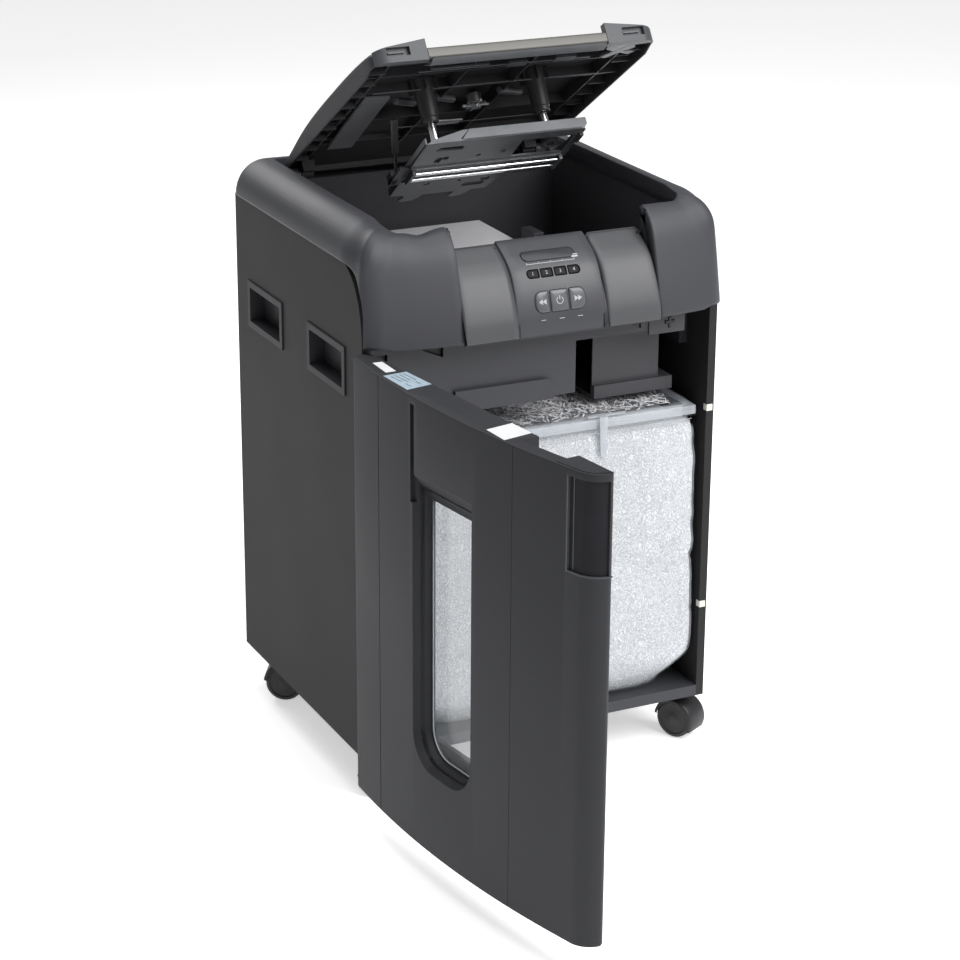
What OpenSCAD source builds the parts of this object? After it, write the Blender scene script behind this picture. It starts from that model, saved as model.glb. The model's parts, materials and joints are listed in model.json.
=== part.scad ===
// Automatic-feed paper shredder on castors: cabinet, top shroud with control panel,
// lid with a sprung press plate, front door with a window, bag on a pull-out frame,
// cutting unit and drive. The front faces -Y, the floor is z = 0, and x = y = 0 is the
// centre of the cabinet. The door and the lid are drawn open.

/* [Cabinet] */
// Width of the cabinet over its side panels
cabinet_w = 450; // [440:1:460]
// Depth of the side panels
cabinet_d = 384; // [380:1:390]
// Height of the side panels
panel_h = 589; // [585:1:595]
// Thickness of the side panels
panel_t = 10; // [9:1:11]
// Thickness of the base board
base_t = 14; // [14:1:14]
// Height of the castors under the base
castor_h = 62; // [62:1:62]

/* [Shroud] */
// Height of the shroud above the side panels
shroud_h = 41; // [40:1:44]
// Drop of the front skirt below the top of the side panels
skirt_drop = 89; // [86:1:90]
// How far the shroud stands out past the side panels
overhang = 4; // [4:1:5]
// Wall thickness of the moulded covers
wall = 3; // [2.5:0.5:3]
// Radius of the bowed front
bow_r = 1300; // [1200:100:1800]

/* [Lid] */
// Length of the lid from its hinge to its front rim
lid_l = 333; // [330:1:335]
// Width of the lid
lid_w = 352; // [346:1:352]
// Thickness of the lid
lid_t = 18; // [16:1:20]
// Angle to which the lid is open
lid_open = 32.7; // [20:0.1:34]

/* [Door] */
// Height of the door
door_h = 520; // [515:1:522]
// Thickness of the door at the middle of its bow
door_t = 43; // [42:1:44]
// Angle to which the door is open
door_open = 82; // [70:1:84]

/* [Feed and drive] */
// Height of the paper pile in the tray
pile_h = 44; // [20:1:44]
// Distance between the two cutter shafts
cutter_gap = 36; // [36:1:36]
// Radius of the cutter discs
disc_r = 20; // [19.5:0.1:20.3]
// Tooth module of the gears
gear_m = 2; // [2:1:2]

/* [Castors] */
// Wheel diameter
wheel_d = 48; // [46:1:48]
// Distance from the swivel stem to the axle
trail = 14; // [12:1:14]

/* [Hidden] */
$fn = 48;
eps = 0.01;
half_w = cabinet_w / 2;
half_d = cabinet_d / 2;
inner_x = half_w - panel_t;
base_z = castor_h;
floor_z = base_z + base_t;
panel_top = base_z + panel_h;
shroud_x = half_w + overhang;
shroud_top = panel_top + shroud_h;
skirt_z = panel_top - skirt_drop;
back_y = half_d + overhang;
front_y = -226;
charcoal = [0.17, 0.17, 0.18];
dark = [0.10, 0.10, 0.11];
grey = [0.32, 0.32, 0.34];
steel = [0.72, 0.72, 0.74];

// --- cabinet -------------------------------------------------------------------------
// Outline of a side panel in Y, Z. Its top front corner follows the shroud's lower edge.
corner_y = 59;
corner_z = 86;
panel_front_z = panel_top - corner_z;
function quarter(cy, cz, ry, rz, n = 12) =
  [for (i = [0:n]) [cy - ry * sin(90 * i / n), cz + rz * cos(90 * i / n)]];
panel_points = concat(
  [[half_d, base_z], [half_d, panel_top]],
  quarter(-half_d + corner_y, panel_front_z, corner_y, corner_z),
  [[-half_d, base_z]]);

grip_w = 101;
grip_h = 48;
grip_z = 524;
grip_ys = [98, -90];
grip_depth = 20;

post = 12;
back_t = 6;
screw_x = inner_x - post / 2;
screw_zs = [100, 350, 600];
screw_r = 2;
module side_panel(side) {
  difference() {
    union() {
      translate([side > 0 ? inner_x : -half_w, 0, 0])
        rotate([90, 0, 90])
          linear_extrude(panel_t)
            polygon(panel_points);
      // rear post that the back panel is screwed to
      translate([side > 0 ? inner_x - post : -inner_x - eps, half_d - back_t - post, floor_z])
        cube([post + eps, post, panel_h - 30]);
    }
    for (z = screw_zs)
      translate([side * screw_x, half_d, z])
        rotate([90, 0, 0])
          cylinder(r = screw_r, h = 16);
    for (y = grip_ys)
      translate([side * half_w, y, grip_z])
        cube([4 * panel_t, grip_w, grip_h], center = true);
  }
}
module left_panel() {
  color(charcoal) side_panel(-1);
}
catch_size = 8;
catch_zs = [183, 434];
module right_panel() {
  color(charcoal)
    difference() {
      side_panel(1);
      for (z = catch_zs)
        translate([inner_x - eps, -half_d - eps, z - catch_size / 2])
          cube([catch_size, catch_size, catch_size]);
    }
}
module door_catches() {
  color([0.85, 0.83, 0.76])
    for (z = catch_zs)
      translate([inner_x, -half_d - 1, z - catch_size / 2])
        cube([catch_size - eps, catch_size, catch_size]);
}

stem_x = 203;
stem_ys = [-151, 150];
stem_r = 5;
module base_tray() {
  color(dark)
    difference() {
      translate([-inner_x, -half_d, base_z])
        cube([2 * inner_x, cabinet_d - 6, base_t]);
      for (x = [-stem_x, stem_x], y = stem_ys)
        translate([x, y, base_z - 1])
          cylinder(r = stem_r + 0.06, h = 13);
    }
}

inlet_x = 128;
switch_x = 176;
socket_z = 400;
module back_panel() {
  color(charcoal)
    difference() {
      translate([-inner_x, half_d - back_t, base_z])
        cube([2 * inner_x, back_t, panel_h - 8]);
      translate([inlet_x, half_d, socket_z])
        cube([28, 20, 20.5], center = true);
      translate([switch_x, half_d, socket_z])
        cube([19.5, 20, 27.5], center = true);
      for (row = [0:5], col = [0:2])
        translate([-150 + 44 * col, half_d, 540 + 12 * row])
          cube([36, 20, 3.6], center = true);
      for (x = [-screw_x, screw_x], z = screw_zs)
        translate([x, half_d + 1, z])
          rotate([90, 0, 0])
            cylinder(r = screw_r + 0.06, h = back_t + 2);
    }
}
module panel_screws() {
  color(steel)
    for (x = [-screw_x, screw_x], z = screw_zs)
      translate([x, half_d, z])
        rotate([90, 0, 0]) {
          translate([0, 0, -2])
            difference() {
              cylinder(r = 4, h = 2);
              translate([0, 0, -eps])
                for (a = [0, 90])
                  rotate([0, 0, a])
                    translate([-2.2, -0.45, 0])
                      cube([4.4, 0.9, 1.2]);
            }
          cylinder(r = screw_r, h = back_t + 8);
        }
}

// One moulded finger cup: a flange proud of the panel and a pocket behind it.
module grip_cup(side) {
  lip = 5;
  difference() {
    union() {
      translate([0, -grip_w / 2 - lip, -grip_h / 2 - lip])
        cube([2, grip_w + 2 * lip, grip_h + 2 * lip]);
      translate([-grip_depth, -grip_w / 2 + 0.2, -grip_h / 2 + 0.2])
        cube([grip_depth, grip_w - 0.4, grip_h - 0.4]);
    }
    translate([-grip_depth + 2, -grip_w / 2 + 3, -grip_h / 2 + 3])
      cube([grip_depth + 4, grip_w - 6, grip_h - 6]);
  }
}
module grip_cups() {
  color(dark)
    for (side = [-1, 1], y = grip_ys)
      translate([side * half_w, y, grip_z])
        mirror([side < 0 ? 1 : 0, 0, 0])
          grip_cup(side);
}

module socket_body(w, h, depth) {
  translate([0, 0, 0])
    cube([w + 5, 3, h + 5], center = true);
  translate([0, -depth / 2, 0])
    cube([w, depth, h], center = true);
}
module power_inlet() {
  color(dark)
    translate([inlet_x, half_d + 1.5, socket_z])
      difference() {
        socket_body(27.6, 20, 30);
        translate([0, -8, 0])
          cube([24, 21, 16], center = true);
      }
}
rocker_tilt = 7;
module power_switch() {
  color([0.75, 0.1, 0.1])
    translate([switch_x, half_d - 6, socket_z])
      rotate([rocker_tilt, 0, 0])
        rotate([0, 90, 0])
        difference() {
          cylinder(r = 12, h = 16, center = true);
          translate([-20, -13.5, -10])
            cube([40, 14, 20]);
          translate([-14, 10.8, -10])
            cube([28, 4, 20]);
        }
}

// --- shroud --------------------------------------------------------------------------
pod_r = 60;
shoulder_r = 42;
corner_r = 38;
function arc(cx, cy, r, a0, a1, n = 10) =
  [for (i = [0:n]) [cx + r * cos(a0 + (a1 - a0) * i / n), cy + r * sin(a0 + (a1 - a0) * i / n)]];
// Side outline in Y, Z, drawn inwards by t.
function shroud_side(t) = concat(
  [[back_y - t, panel_top - (t > 0 ? 200 : 0)]],
  arc(back_y - 30, shroud_top - 30, 30 - t, 0, 90, 6),
  arc(-131, shroud_top - pod_r, pod_r - t, 90, 163, 10),
  [[front_y + 22 + t, panel_top - 36], [front_y + 14 + t, panel_top - 65]],
  [[front_y + 8 + t, skirt_z - (t > 0 ? 20 : 0)]],
  t > 0 ? [] : [[-half_d - 1, skirt_z], [-half_d - 1, panel_front_z]],
  t > 0 ? [[-half_d + t, skirt_z - 200]] : [for (i = [0:11])
    [-half_d + corner_y - (corner_y + 1) * cos(90 * i / 12), panel_front_z + (corner_z + 0.5) * sin(90 * i / 12)]],
  t > 0 ? [] : [[-half_d + corner_y, panel_top + 0.5]]);
// Cross section in X, Z.
function shroud_section(t) = concat(
  [[-shroud_x + t, 300], [shroud_x - t, 300]],
  arc(shroud_x - shoulder_r, shroud_top - shoulder_r, shoulder_r - t, 0, 90, 10),
  arc(-shroud_x + shoulder_r, shroud_top - shoulder_r, shoulder_r - t, 90, 180, 10));
// Bowed front of the shroud and the door: how far it lies behind the crown at x.
function bow(x) = bow_r - sqrt(bow_r * bow_r - x * x);
function shroud_plan(t) = concat(
  [[shroud_x - t, back_y - t], [-shroud_x + t, back_y - t]],
  arc(-shroud_x + corner_r, front_y + bow(shroud_x - corner_r) + corner_r, corner_r - t, 180, 262, 8),
  [for (i = [-6:6]) let (x = i * 30) [x, front_y + t + bow(x)]],
  arc(shroud_x - corner_r, front_y + bow(shroud_x - corner_r) + corner_r, corner_r - t, 278, 360, 8));
module shroud_solid(t) {
  intersection() {
    translate([-shroud_x + t, 0, 0])
      rotate([90, 0, 90])
        linear_extrude(2 * (shroud_x - t))
          polygon(shroud_side(t));
    translate([0, back_y + 10, 0])
      rotate([90, 0, 0])
        linear_extrude(500)
          polygon(shroud_section(t));
    translate([0, 0, 300])
      linear_extrude(450)
        polygon(shroud_plan(t));
  }
}
open_left = -182;
open_right = 188;
open_front = -165;
open_back = 178;
fascia_left = -114;
fascia_right = 136;
lid_axis_y = 154;
lid_axis_z = shroud_top - 16;
rim_rise = 8;
lug_x = 148;
pin_r = 4;
module shroud() {
  color(charcoal)
    difference() {
      union() {
        difference() {
          shroud_solid(0);
          shroud_solid(wall);
          translate([open_left, open_front, shroud_top - 60])
            cube([open_right - open_left, open_back - open_front, 100]);
          translate([fascia_left, front_y - 20, skirt_z - 20])
            cube([fascia_right - fascia_left, open_front - front_y + 21, 250]);
        }
        // ledges that rest on the side panels
        for (side = [-1, 1])
          translate([side > 0 ? inner_x - 2 : -shroud_x + 1, -half_d + corner_y + 4, panel_top])
            cube([shroud_x - inner_x + 1, cabinet_d - corner_y - 4, 4]);
        // end walls of the two front pods
        for (x = [fascia_left - wall, fascia_right])
          intersection() {
            shroud_solid(0);
            translate([x, front_y, skirt_z])
              cube([wall, open_front - front_y + 1, 140]);
          }
        // ears of the lid hinge
        for (x = [-lug_x - 24, lug_x + 10])
          translate([x, 0, 0]) {
            translate([0, lid_axis_y, lid_axis_z])
              rotate([0, 90, 0])
                cylinder(r = 6.5, h = 14);
            translate([0, lid_axis_y, lid_axis_z - 6.5])
              cube([14, back_y - wall - lid_axis_y, 6.5]);
          }
      }
      translate([0, lid_axis_y, lid_axis_z])
        rotate([0, 90, 0])
          cylinder(r = pin_r, h = 400, center = true);
    }
}

// --- control panel ------------------------------------------------------------------
// Profile of the fascia in Y, Z from its top rear edge to its foot, set back by t.
function fascia_profile(t) = [
  [-162 + t, 657 - t], [-179 + t, 648.5 - t], [-191 + t, 641 - t], [-201 + t, 630.5 - t],
  [-209 + t, 616 - t], [-215 + t, 601 - t], [-220 + t, 584 - t], [-223 + t, skirt_z]];
function reversed(list) = [for (i = [len(list) - 1:-1:0]) list[i]];
module fascia_shell(x0, x1, back) {
  translate([x0, 0, 0])
    rotate([90, 0, 90])
      linear_extrude(x1 - x0)
        polygon(concat(fascia_profile(back), reversed(fascia_profile(back + wall))));
}
panel_left = -49;
panel_right = 62;
centre_x = 6;
button_z = 598;
button_tilt = 18;
key_z = 627;
key_tilt = 33;
key_pitch = 17.2;
function face_y(z) = z > 641 ? -191 + (z - 641) * 1.6 : z > 616 ? -209 + (z - 616) * 0.72 : -220 + (z - 584) * 0.35;
module control_panel() {
  color(grey)
    difference() {
      fascia_shell(panel_left, panel_right, 0);
      for (i = [0:3])
        place_key(i, -6)
          cube([key_w + 0.8, key_h + 0.8, 20], center = true);
      for (i = [0:2])
        place_button(i, -6)
          cube([button_ws[i] + 0.8, button_h + 0.8, 20], center = true);
      place_lens(0)
        cube([lens_w, lens_h, 3.2], center = true);
    }
}
module side_fascias() {
  color(charcoal) {
    fascia_shell(fascia_left + 0.3, panel_left - 0.3, 4);
    fascia_shell(panel_right + 4, fascia_right - 6, 4);
  }
}
lens_w = 66;
lens_h = 15;
module place_lens(out) {
  translate([centre_x - 2, -186.5, 643.6])
    rotate([28, 0, 0])
      translate([0, 0, out])
        children();
}
module display_lens() {
  color([0.2, 0.21, 0.22])
    place_lens(0.2)
      cube([lens_w - 0.4, lens_h - 0.4, 2.4], center = true);
}
key_w = 15;
key_h = 11;
module place_key(i, out) {
  translate([centre_x - 2 + (i - 1.5) * key_pitch, face_y(key_z), key_z])
    rotate([90 - key_tilt, 0, 0])
      translate([0, 0, out])
        children();
}
module key(i) {
  color(dark)
    place_key(i, -2)
      union() {
        cube([key_w, key_h, 7], center = true);
        translate([0, 0, -5])
          cylinder(r = 2.5, h = 5, center = true);
      }
}
module key_1() { key(0); }
module key_2() { key(1); }
module key_3() { key(2); }
module key_4() { key(3); }
button_xs = [-16.5, 5, 28];
button_ws = [17, 22, 20];
button_h = 24;
module place_button(i, out) {
  translate([button_xs[i], face_y(button_z), button_z])
    rotate([90 - button_tilt, 0, 0])
      translate([0, 0, out])
        children();
}
module button(i) {
  color([0.55, 0.55, 0.57])
    place_button(i, -2)
      union() {
        cube([button_ws[i], button_h, 7], center = true);
        translate([0, 0, -5])
          cylinder(r = 3, h = 5, center = true);
      }
}
module button_reverse() { button(0); }
module button_power() { button(1); }
module button_forward() { button(2); }
board_in = -16;
module control_board() {
  color([0.1, 0.35, 0.18])
    union() {
      translate([centre_x, face_y(button_z), button_z])
        rotate([90 - button_tilt, 0, 0])
          translate([-50, -22, board_in - 1.6])
            cube([98, 54, 1.6]);
      // tact switches behind the buttons and keys
      for (i = [0:2])
        place_button(i, board_in + 2)
          cube([6, 6, 4.2], center = true);
      for (i = [0:3])
        translate([centre_x - 2 + (i - 1.5) * key_pitch, face_y(button_z), button_z])
          rotate([90 - button_tilt, 0, 0])
            translate([0, 26, board_in + 0.5])
              cube([5, 5, 1.2], center = true);
    }
}

// --- front below the shroud -----------------------------------------------------------
apron_y = -188;
foot_t = 2;
raise = 5;
module front_apron() {
  color(charcoal)
    difference() {
      union() {
        translate([0, apron_y + 4, 0])
          rotate([90, 0, 0])
            linear_extrude(4)
              polygon([[-inner_x + 1, 476], [42, 476], [42, 538], [134, 538], [134, skirt_z], [-inner_x + 1, skirt_z]]);
        // foot of the control panel, which the fascia stands on
        translate([fascia_left + 1, -222, skirt_z - foot_t])
          cube([fascia_right - fascia_left - 8, apron_y + 226, foot_t]);
        // raised cover of the feed throat
        translate([-112, apron_y - raise, 474])
          cube([124, raise + 0.5, 13]);
        translate([-112, apron_y - raise, 486])
          cube([112, raise + 0.5, 13]);
        translate([0, apron_y + 0.5, 487])
          rotate([90, 0, 0])
            cylinder(r = 12, h = raise + 0.5);
      }
      for (x = [-193, -125])
        translate([x, apron_y + 10, 0])
          rotate([90, 0, 0])
            linear_extrude(30)
              polygon([[-27, 552], [0, 552], [0, 540]]);
      translate([126, apron_y + 10, 0])
        rotate([90, 0, 0])
          linear_extrude(30)
            polygon([[-27, 556], [0, 556], [0, 542]]);
    }
}
module drive_housing() {
  color(dark)
    difference() {
      union() {
        translate([84, -150, 467])
          cube([88, 226, 78]);
        translate([84, -156, 452])
          cube([104, 232, 15.5]);
      }
      translate([84 - 1, -147, 455])
        cube([86, 220, 87]);
    }
}
bracket_x = 136;
bracket_y = -190;
module latch_bracket() {
  color(charcoal)
    difference() {
      translate([bracket_x, bracket_y, 533])
        union() {
          cube([47, 3, 29]);
          translate([0, 0, 26])
            cube([47, 26, 3]);
          translate([44, 0, 0])
            cube([3, 26, 29]);
        }
      for (size = [[4, 14], [13, 4]])
        translate([bracket_x + 27, bracket_y, 546])
          cube([size[0], 20, size[1]], center = true);
    }
}
module interlock_plunger() {
  color(dark)
    translate([bracket_x + 27, bracket_y + 2.5, 546])
      union() {
        cube([3.4, 8, 12.6], center = true);
        cube([12, 8, 3.4], center = true);
        translate([0, 6, 0])
          cube([8, 8, 8], center = true);
      }
}

// --- paper tray ----------------------------------------------------------------------
tray_z = 548;
tray_t = 3;
tray_front = -156;
tray_back = 162;
feed_ys = [-50, 30];
feed_z = 536;
feed_r = 14.7;
cut_mid_y = -10;
tyre_xs = [-105, -30, 45];
module paper_tray() {
  color(dark)
    union() {
      difference() {
        translate([open_left - tray_t, tray_front - tray_t, tray_z])
          cube([open_right - open_left + 2 * tray_t, tray_back - tray_front + 2 * tray_t, shroud_top - wall - 0.6 - tray_z]);
        translate([open_left, tray_front, tray_z + tray_t])
          cube([open_right - open_left, tray_back - tray_front, 200]);
        // front wall stays below the fascia
        translate([-220, tray_front - 20, 645])
          cube([440, 40, 100]);
        // clearance for the hinge ears and lid lugs
        translate([-200, tray_back - 22, lid_axis_z - 10])
          cube([400, 60, 60]);
        // throat to the cutters
        translate([-140, cut_mid_y - 9, tray_z - 5])
          cube([214, 18, 20]);
        for (x = tyre_xs, y = feed_ys)
          translate([x, y, tray_z])
            cube([30, 26, 20], center = true);
      }
      // side stop that keeps the pile against the left wall
      translate([86, 8, tray_z + tray_t - eps])
        cube([13, 34, 60]);
      translate([98, 16, tray_z + tray_t - eps])
        cube([60, 18, 22]);
    }
}
module paper_stack() {
  color([0.95, 0.95, 0.94])
    translate([-130, -150, tray_z + tray_t])
      cube([210, 297, pile_h]);
}

// --- cutting unit --------------------------------------------------------------------
cut_z = 500;
cut_ys = [cut_mid_y - cutter_gap / 2, cut_mid_y + cutter_gap / 2];
core_r = cutter_gap - disc_r - 1;
shaft_r = 8;
cut_x0 = -144;
disc_t = 3.4;
disc_pitch = 8;
disc_n = 27;
pulley_r = 9;
pulley_w = 12;
pulley_x = -167;
belt_t = 2;
// Half section of one cutter: belt pulley, discs on a core, and a shaft out to the gears.
function cutter_outline(shift, out) = concat(
  [[0, pulley_x], [pulley_r, pulley_x], [pulley_r, pulley_x + pulley_w]],
  [[shaft_r, pulley_x + pulley_w], [shaft_r, cut_x0], [core_r, cut_x0]],
  [for (i = [0:disc_n - 1], c = [0:3]) let (x = cut_x0 + shift + i * disc_pitch)
    [c == 1 || c == 2 ? disc_r : core_r, c < 2 ? x : x + disc_t]],
  [[core_r, cut_x0 + disc_n * disc_pitch + 5], [shaft_r, cut_x0 + disc_n * disc_pitch + 5],
   [shaft_r, out], [0, out]]);
module cutter(y, shift, out) {
  translate([0, y, cut_z])
    rotate([0, 90, 0])
      rotate_extrude($fn = 64)
        polygon(cutter_outline(shift, out));
}
gear_a_x = 87;
gear_b_x = 99;
gear_t = 10;
module cutter_front() {
  color(steel) cutter(cut_ys[0], 1, gear_b_x + gear_t);
}
module cutter_rear() {
  color(steel) cutter(cut_ys[1], 5, gear_a_x + gear_t);
}
module cutter_combs() {
  color(dark)
    for (s = [0, 1]) {
      far = s == 0 ? cut_ys[0] - disc_r - 8 : cut_ys[1] + disc_r + 2;
      translate([cut_x0, far, cut_z - 12])
        cube([disc_n * disc_pitch, 6, 8]);
      for (i = [0:disc_n - 2])
        translate([cut_x0 + (s == 0 ? 6 : 2) + i * disc_pitch, s == 0 ? far + 5 : far - 5, cut_z - 12])
          cube([1.6, 6, 8]);
    }
}
plate_xs = [-152, 79];
module cutter_frame() {
  color([0.5, 0.51, 0.53])
    difference() {
      union() {
        for (x = plate_xs)
          translate([x, cut_mid_y - 62, 462])
            cube([4, 124, 84]);
        for (y = [cut_mid_y - 62, cut_mid_y + 56], z = [462, 538])
          translate([plate_xs[0] + 1, y, z])
            cube([plate_xs[1] - plate_xs[0], 6, 8]);
      }
      for (y = cut_ys)
        translate([-300, y, cut_z])
          rotate([0, 90, 0])
            cylinder(r = shaft_r + 0.06, h = 600);
      for (y = feed_ys)
        translate([-300, y, feed_z])
          rotate([0, 90, 0])
            cylinder(r = 5.06, h = 600);
    }
}
// Toothed wheel with straight-flanked teeth; turn is the angle of its first tooth.
module gear(teeth, turn, bore) {
  r = gear_m * teeth / 2;
  pitch = 360 / teeth;
  difference() {
    linear_extrude(gear_t)
      polygon([for (i = [0:teeth - 1], c = [0:3])
        let (a = turn + i * pitch + pitch * [-0.31, -0.12, 0.12, 0.31][c], q = c == 0 || c == 3 ? r - 1.15 * gear_m : r + 0.75 * gear_m)
        [q * cos(a), q * sin(a)]]);
    translate([0, 0, -1])
      cylinder(r = bore, h = gear_t + 2);
  }
}
// Places a wheel on an axis along +X; its zero angle then points along +Y.
module on_axis(x, y, z) {
  translate([x, y, z])
    rotate([90, 0, 90])
      children();
}
small_teeth = 18;
big_teeth = 36;
pinion_teeth = 12;
motor_y = cut_ys[0] + gear_m * (big_teeth + pinion_teeth) / 2;
module cutter_gear_front() {
  color([0.55, 0.5, 0.4])
    union() {
      on_axis(gear_a_x, cut_ys[0], cut_z) gear(small_teeth, 0, shaft_r);
      on_axis(gear_b_x, cut_ys[0], cut_z) gear(big_teeth, 0, shaft_r);
      on_axis(gear_a_x + gear_t - 1, cut_ys[0], cut_z)
        difference() {
          cylinder(r = 13, h = 4);
          translate([0, 0, -1])
            cylinder(r = shaft_r, h = 6);
        }
    }
}
module cutter_gear_rear() {
  color([0.55, 0.5, 0.4])
    on_axis(gear_a_x, cut_ys[1], cut_z) gear(small_teeth, 180 + 180 / small_teeth, shaft_r);
}
motor_r = 35;
module motor() {
  color([0.45, 0.46, 0.48])
    translate([gear_b_x + gear_t + 3, motor_y, cut_z])
      rotate([0, 90, 0])
        difference() {
          union() {
            cylinder(r = motor_r, h = 44);
            cylinder(r = 14, h = 54);
          }
          translate([0, 0, -1])
            cylinder(r = 4.06, h = 30);
        }
}
module motor_pinion() {
  color(steel)
    union() {
      on_axis(gear_b_x, motor_y, cut_z) gear(pinion_teeth, 180 + 180 / pinion_teeth, 4);
      on_axis(gear_b_x - 1, motor_y, cut_z) cylinder(r = 4, h = 37);
    }
}
module feed_roller(y) {
  color([0.3, 0.3, 0.32])
    translate([0, y, feed_z])
      rotate([0, 90, 0])
        union() {
          translate([0, 0, pulley_x])
            cylinder(r = 5, h = plate_xs[1] + 8 - pulley_x);
          translate([0, 0, pulley_x])
            cylinder(r = pulley_r, h = pulley_w);
          for (x = tyre_xs)
            translate([0, 0, x - 12])
              cylinder(r = feed_r, h = 24);
        }
}
// Band round two pulleys of radius r whose axes lie at a and b in Y, Z.
module band(a, b, r) {
  length = norm(b - a);
  translate(a)
    rotate(atan2(b[1] - a[1], b[0] - a[0])) {
      circle(r = r);
      translate([length, 0])
        circle(r = r);
      translate([0, -r])
        square([length, 2 * r]);
    }
}
module feed_belts() {
  color([0.08, 0.08, 0.08])
    for (i = [0, 1])
      translate([pulley_x + 2, 0, 0])
        rotate([90, 0, 90])
          linear_extrude(8)
            difference() {
              band([cut_ys[i], cut_z], [feed_ys[i], feed_z], pulley_r + 0.1 + belt_t);
              band([cut_ys[i], cut_z], [feed_ys[i], feed_z], pulley_r + 0.1);
            }
}
module feed_roller_front() { feed_roller(feed_ys[0]); }
module feed_roller_rear() { feed_roller(feed_ys[1]); }

// --- bag -----------------------------------------------------------------------------
frame_l = -160;
frame_r = 205;
frame_front = -185;
frame_back = 150;
frame_z = 426;
frame_t = 11;
module bag_frame() {
  color([0.75, 0.77, 0.80])
    difference() {
      translate([frame_l, frame_front, frame_z])
        cube([frame_r - frame_l, frame_back - frame_front, frame_t]);
      translate([frame_l + 12, frame_front + 9, frame_z - 1])
        cube([frame_r - frame_l - 24, frame_back - frame_front - 18, frame_t + 2]);
    }
}
module bag_rails() {
  color(dark) {
    translate([frame_r - 8, -170, frame_z - 8])
      cube([inner_x - frame_r + 8, 330, 7.4]);
    translate([-inner_x, -170, frame_z - 8])
      cube([frame_l + inner_x + 8, 330, 7.4]);
  }
}
bag_top = frame_z - 14;
bag_foot = floor_z + 0.5;
bag_skin = 2;
heap_top = 447;
module bag_neck(t) {
  translate([frame_l + 13 + t, frame_front + 10 + t, bag_top - 10])
    linear_extrude(frame_z + frame_t - bag_top + 10)
      rounded_rect(frame_r - frame_l - 26 - 2 * t, frame_back - frame_front - 20 - 2 * t, 30 - t);
}
module bag_form(t) {
  translate([frame_l + 2 + t, frame_front - 1 + t, bag_foot + t])
    linear_extrude(bag_top - bag_foot - 2 * t)
      rounded_rect(frame_r - frame_l - 2 * t, frame_back - frame_front - 2 * t, 40 - t);
  bag_neck(t);
}
module rounded_rect(w, d, r) {
  union() {
    translate([r, 0])
      square([w - 2 * r, d]);
    translate([0, r])
      square([w, d - 2 * r]);
    for (x = [r, w - r], y = [r, d - r])
      translate([x, y])
        circle(r = r);
  }
}
module waste_bag() {
  color([0.9, 0.92, 0.94])
    difference() {
      bag_form(0);
      translate([0, 0, eps])
        bag_form(bag_skin);
    }
}
module shredded_paper() {
  color([0.93, 0.93, 0.92])
    union() {
      difference() {
        bag_form(bag_skin + 0.3);
        translate([-300, -300, frame_z + 6])
          cube([700, 700, 50]);
      }
      // low heap on top
      intersection() {
        translate([0, 0, 10])
          bag_neck(bag_skin + 0.3);
        translate([20, -20, heap_top - 700])
          sphere(r = 700, $fn = 96);
      }
    }
}

// --- door ----------------------------------------------------------------------------
door_x = 228.5;
door_back = -194;
door_front = door_back - door_t;
door_z = skirt_z - 3 - door_h;
hinge_x = -221.5;
hinge_y = -199.8;
hinge_clear = 7;
hinge_r = 3;
knuckle_zs = [78, 520];
knuckle_h = 14;
end_r = 27;
module door_place() {
  translate([hinge_x, hinge_y, 0])
    rotate([0, 0, -door_open])
      translate([-hinge_x, -hinge_y, 0])
        children();
}
// Plan outline of the door, drawn inwards by t: bowed front, rounded ends, flat back.
function door_outline(t) = let (ey = door_front + bow(door_x - end_r) + end_r) concat(
  [[door_x - t, door_back - t], [-door_x + t, door_back - t]],
  arc(-door_x + end_r, ey, end_r - t, 180, 260, 8),
  [for (i = [-6:6]) let (x = i * 31) [x, door_front + t + bow(x)]],
  arc(door_x - end_r, ey, end_r - t, 280, 360, 8));
win_l = -76;
win_r = 41;
win_z0 = 136;
win_z1 = 475;
pane_y = -212;
pane_z0 = 150;
pane_z1 = 440;
module window_cut() {
  hull() {
    translate([win_l, door_front - 5, 0])
      rotate([-90, 0, 0])
        linear_extrude(1)
          window_outline(0);
    translate([win_l, pane_y - 0.5, 0])
      rotate([-90, 0, 0])
        linear_extrude(1)
          window_outline(6);
  }
}
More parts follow.
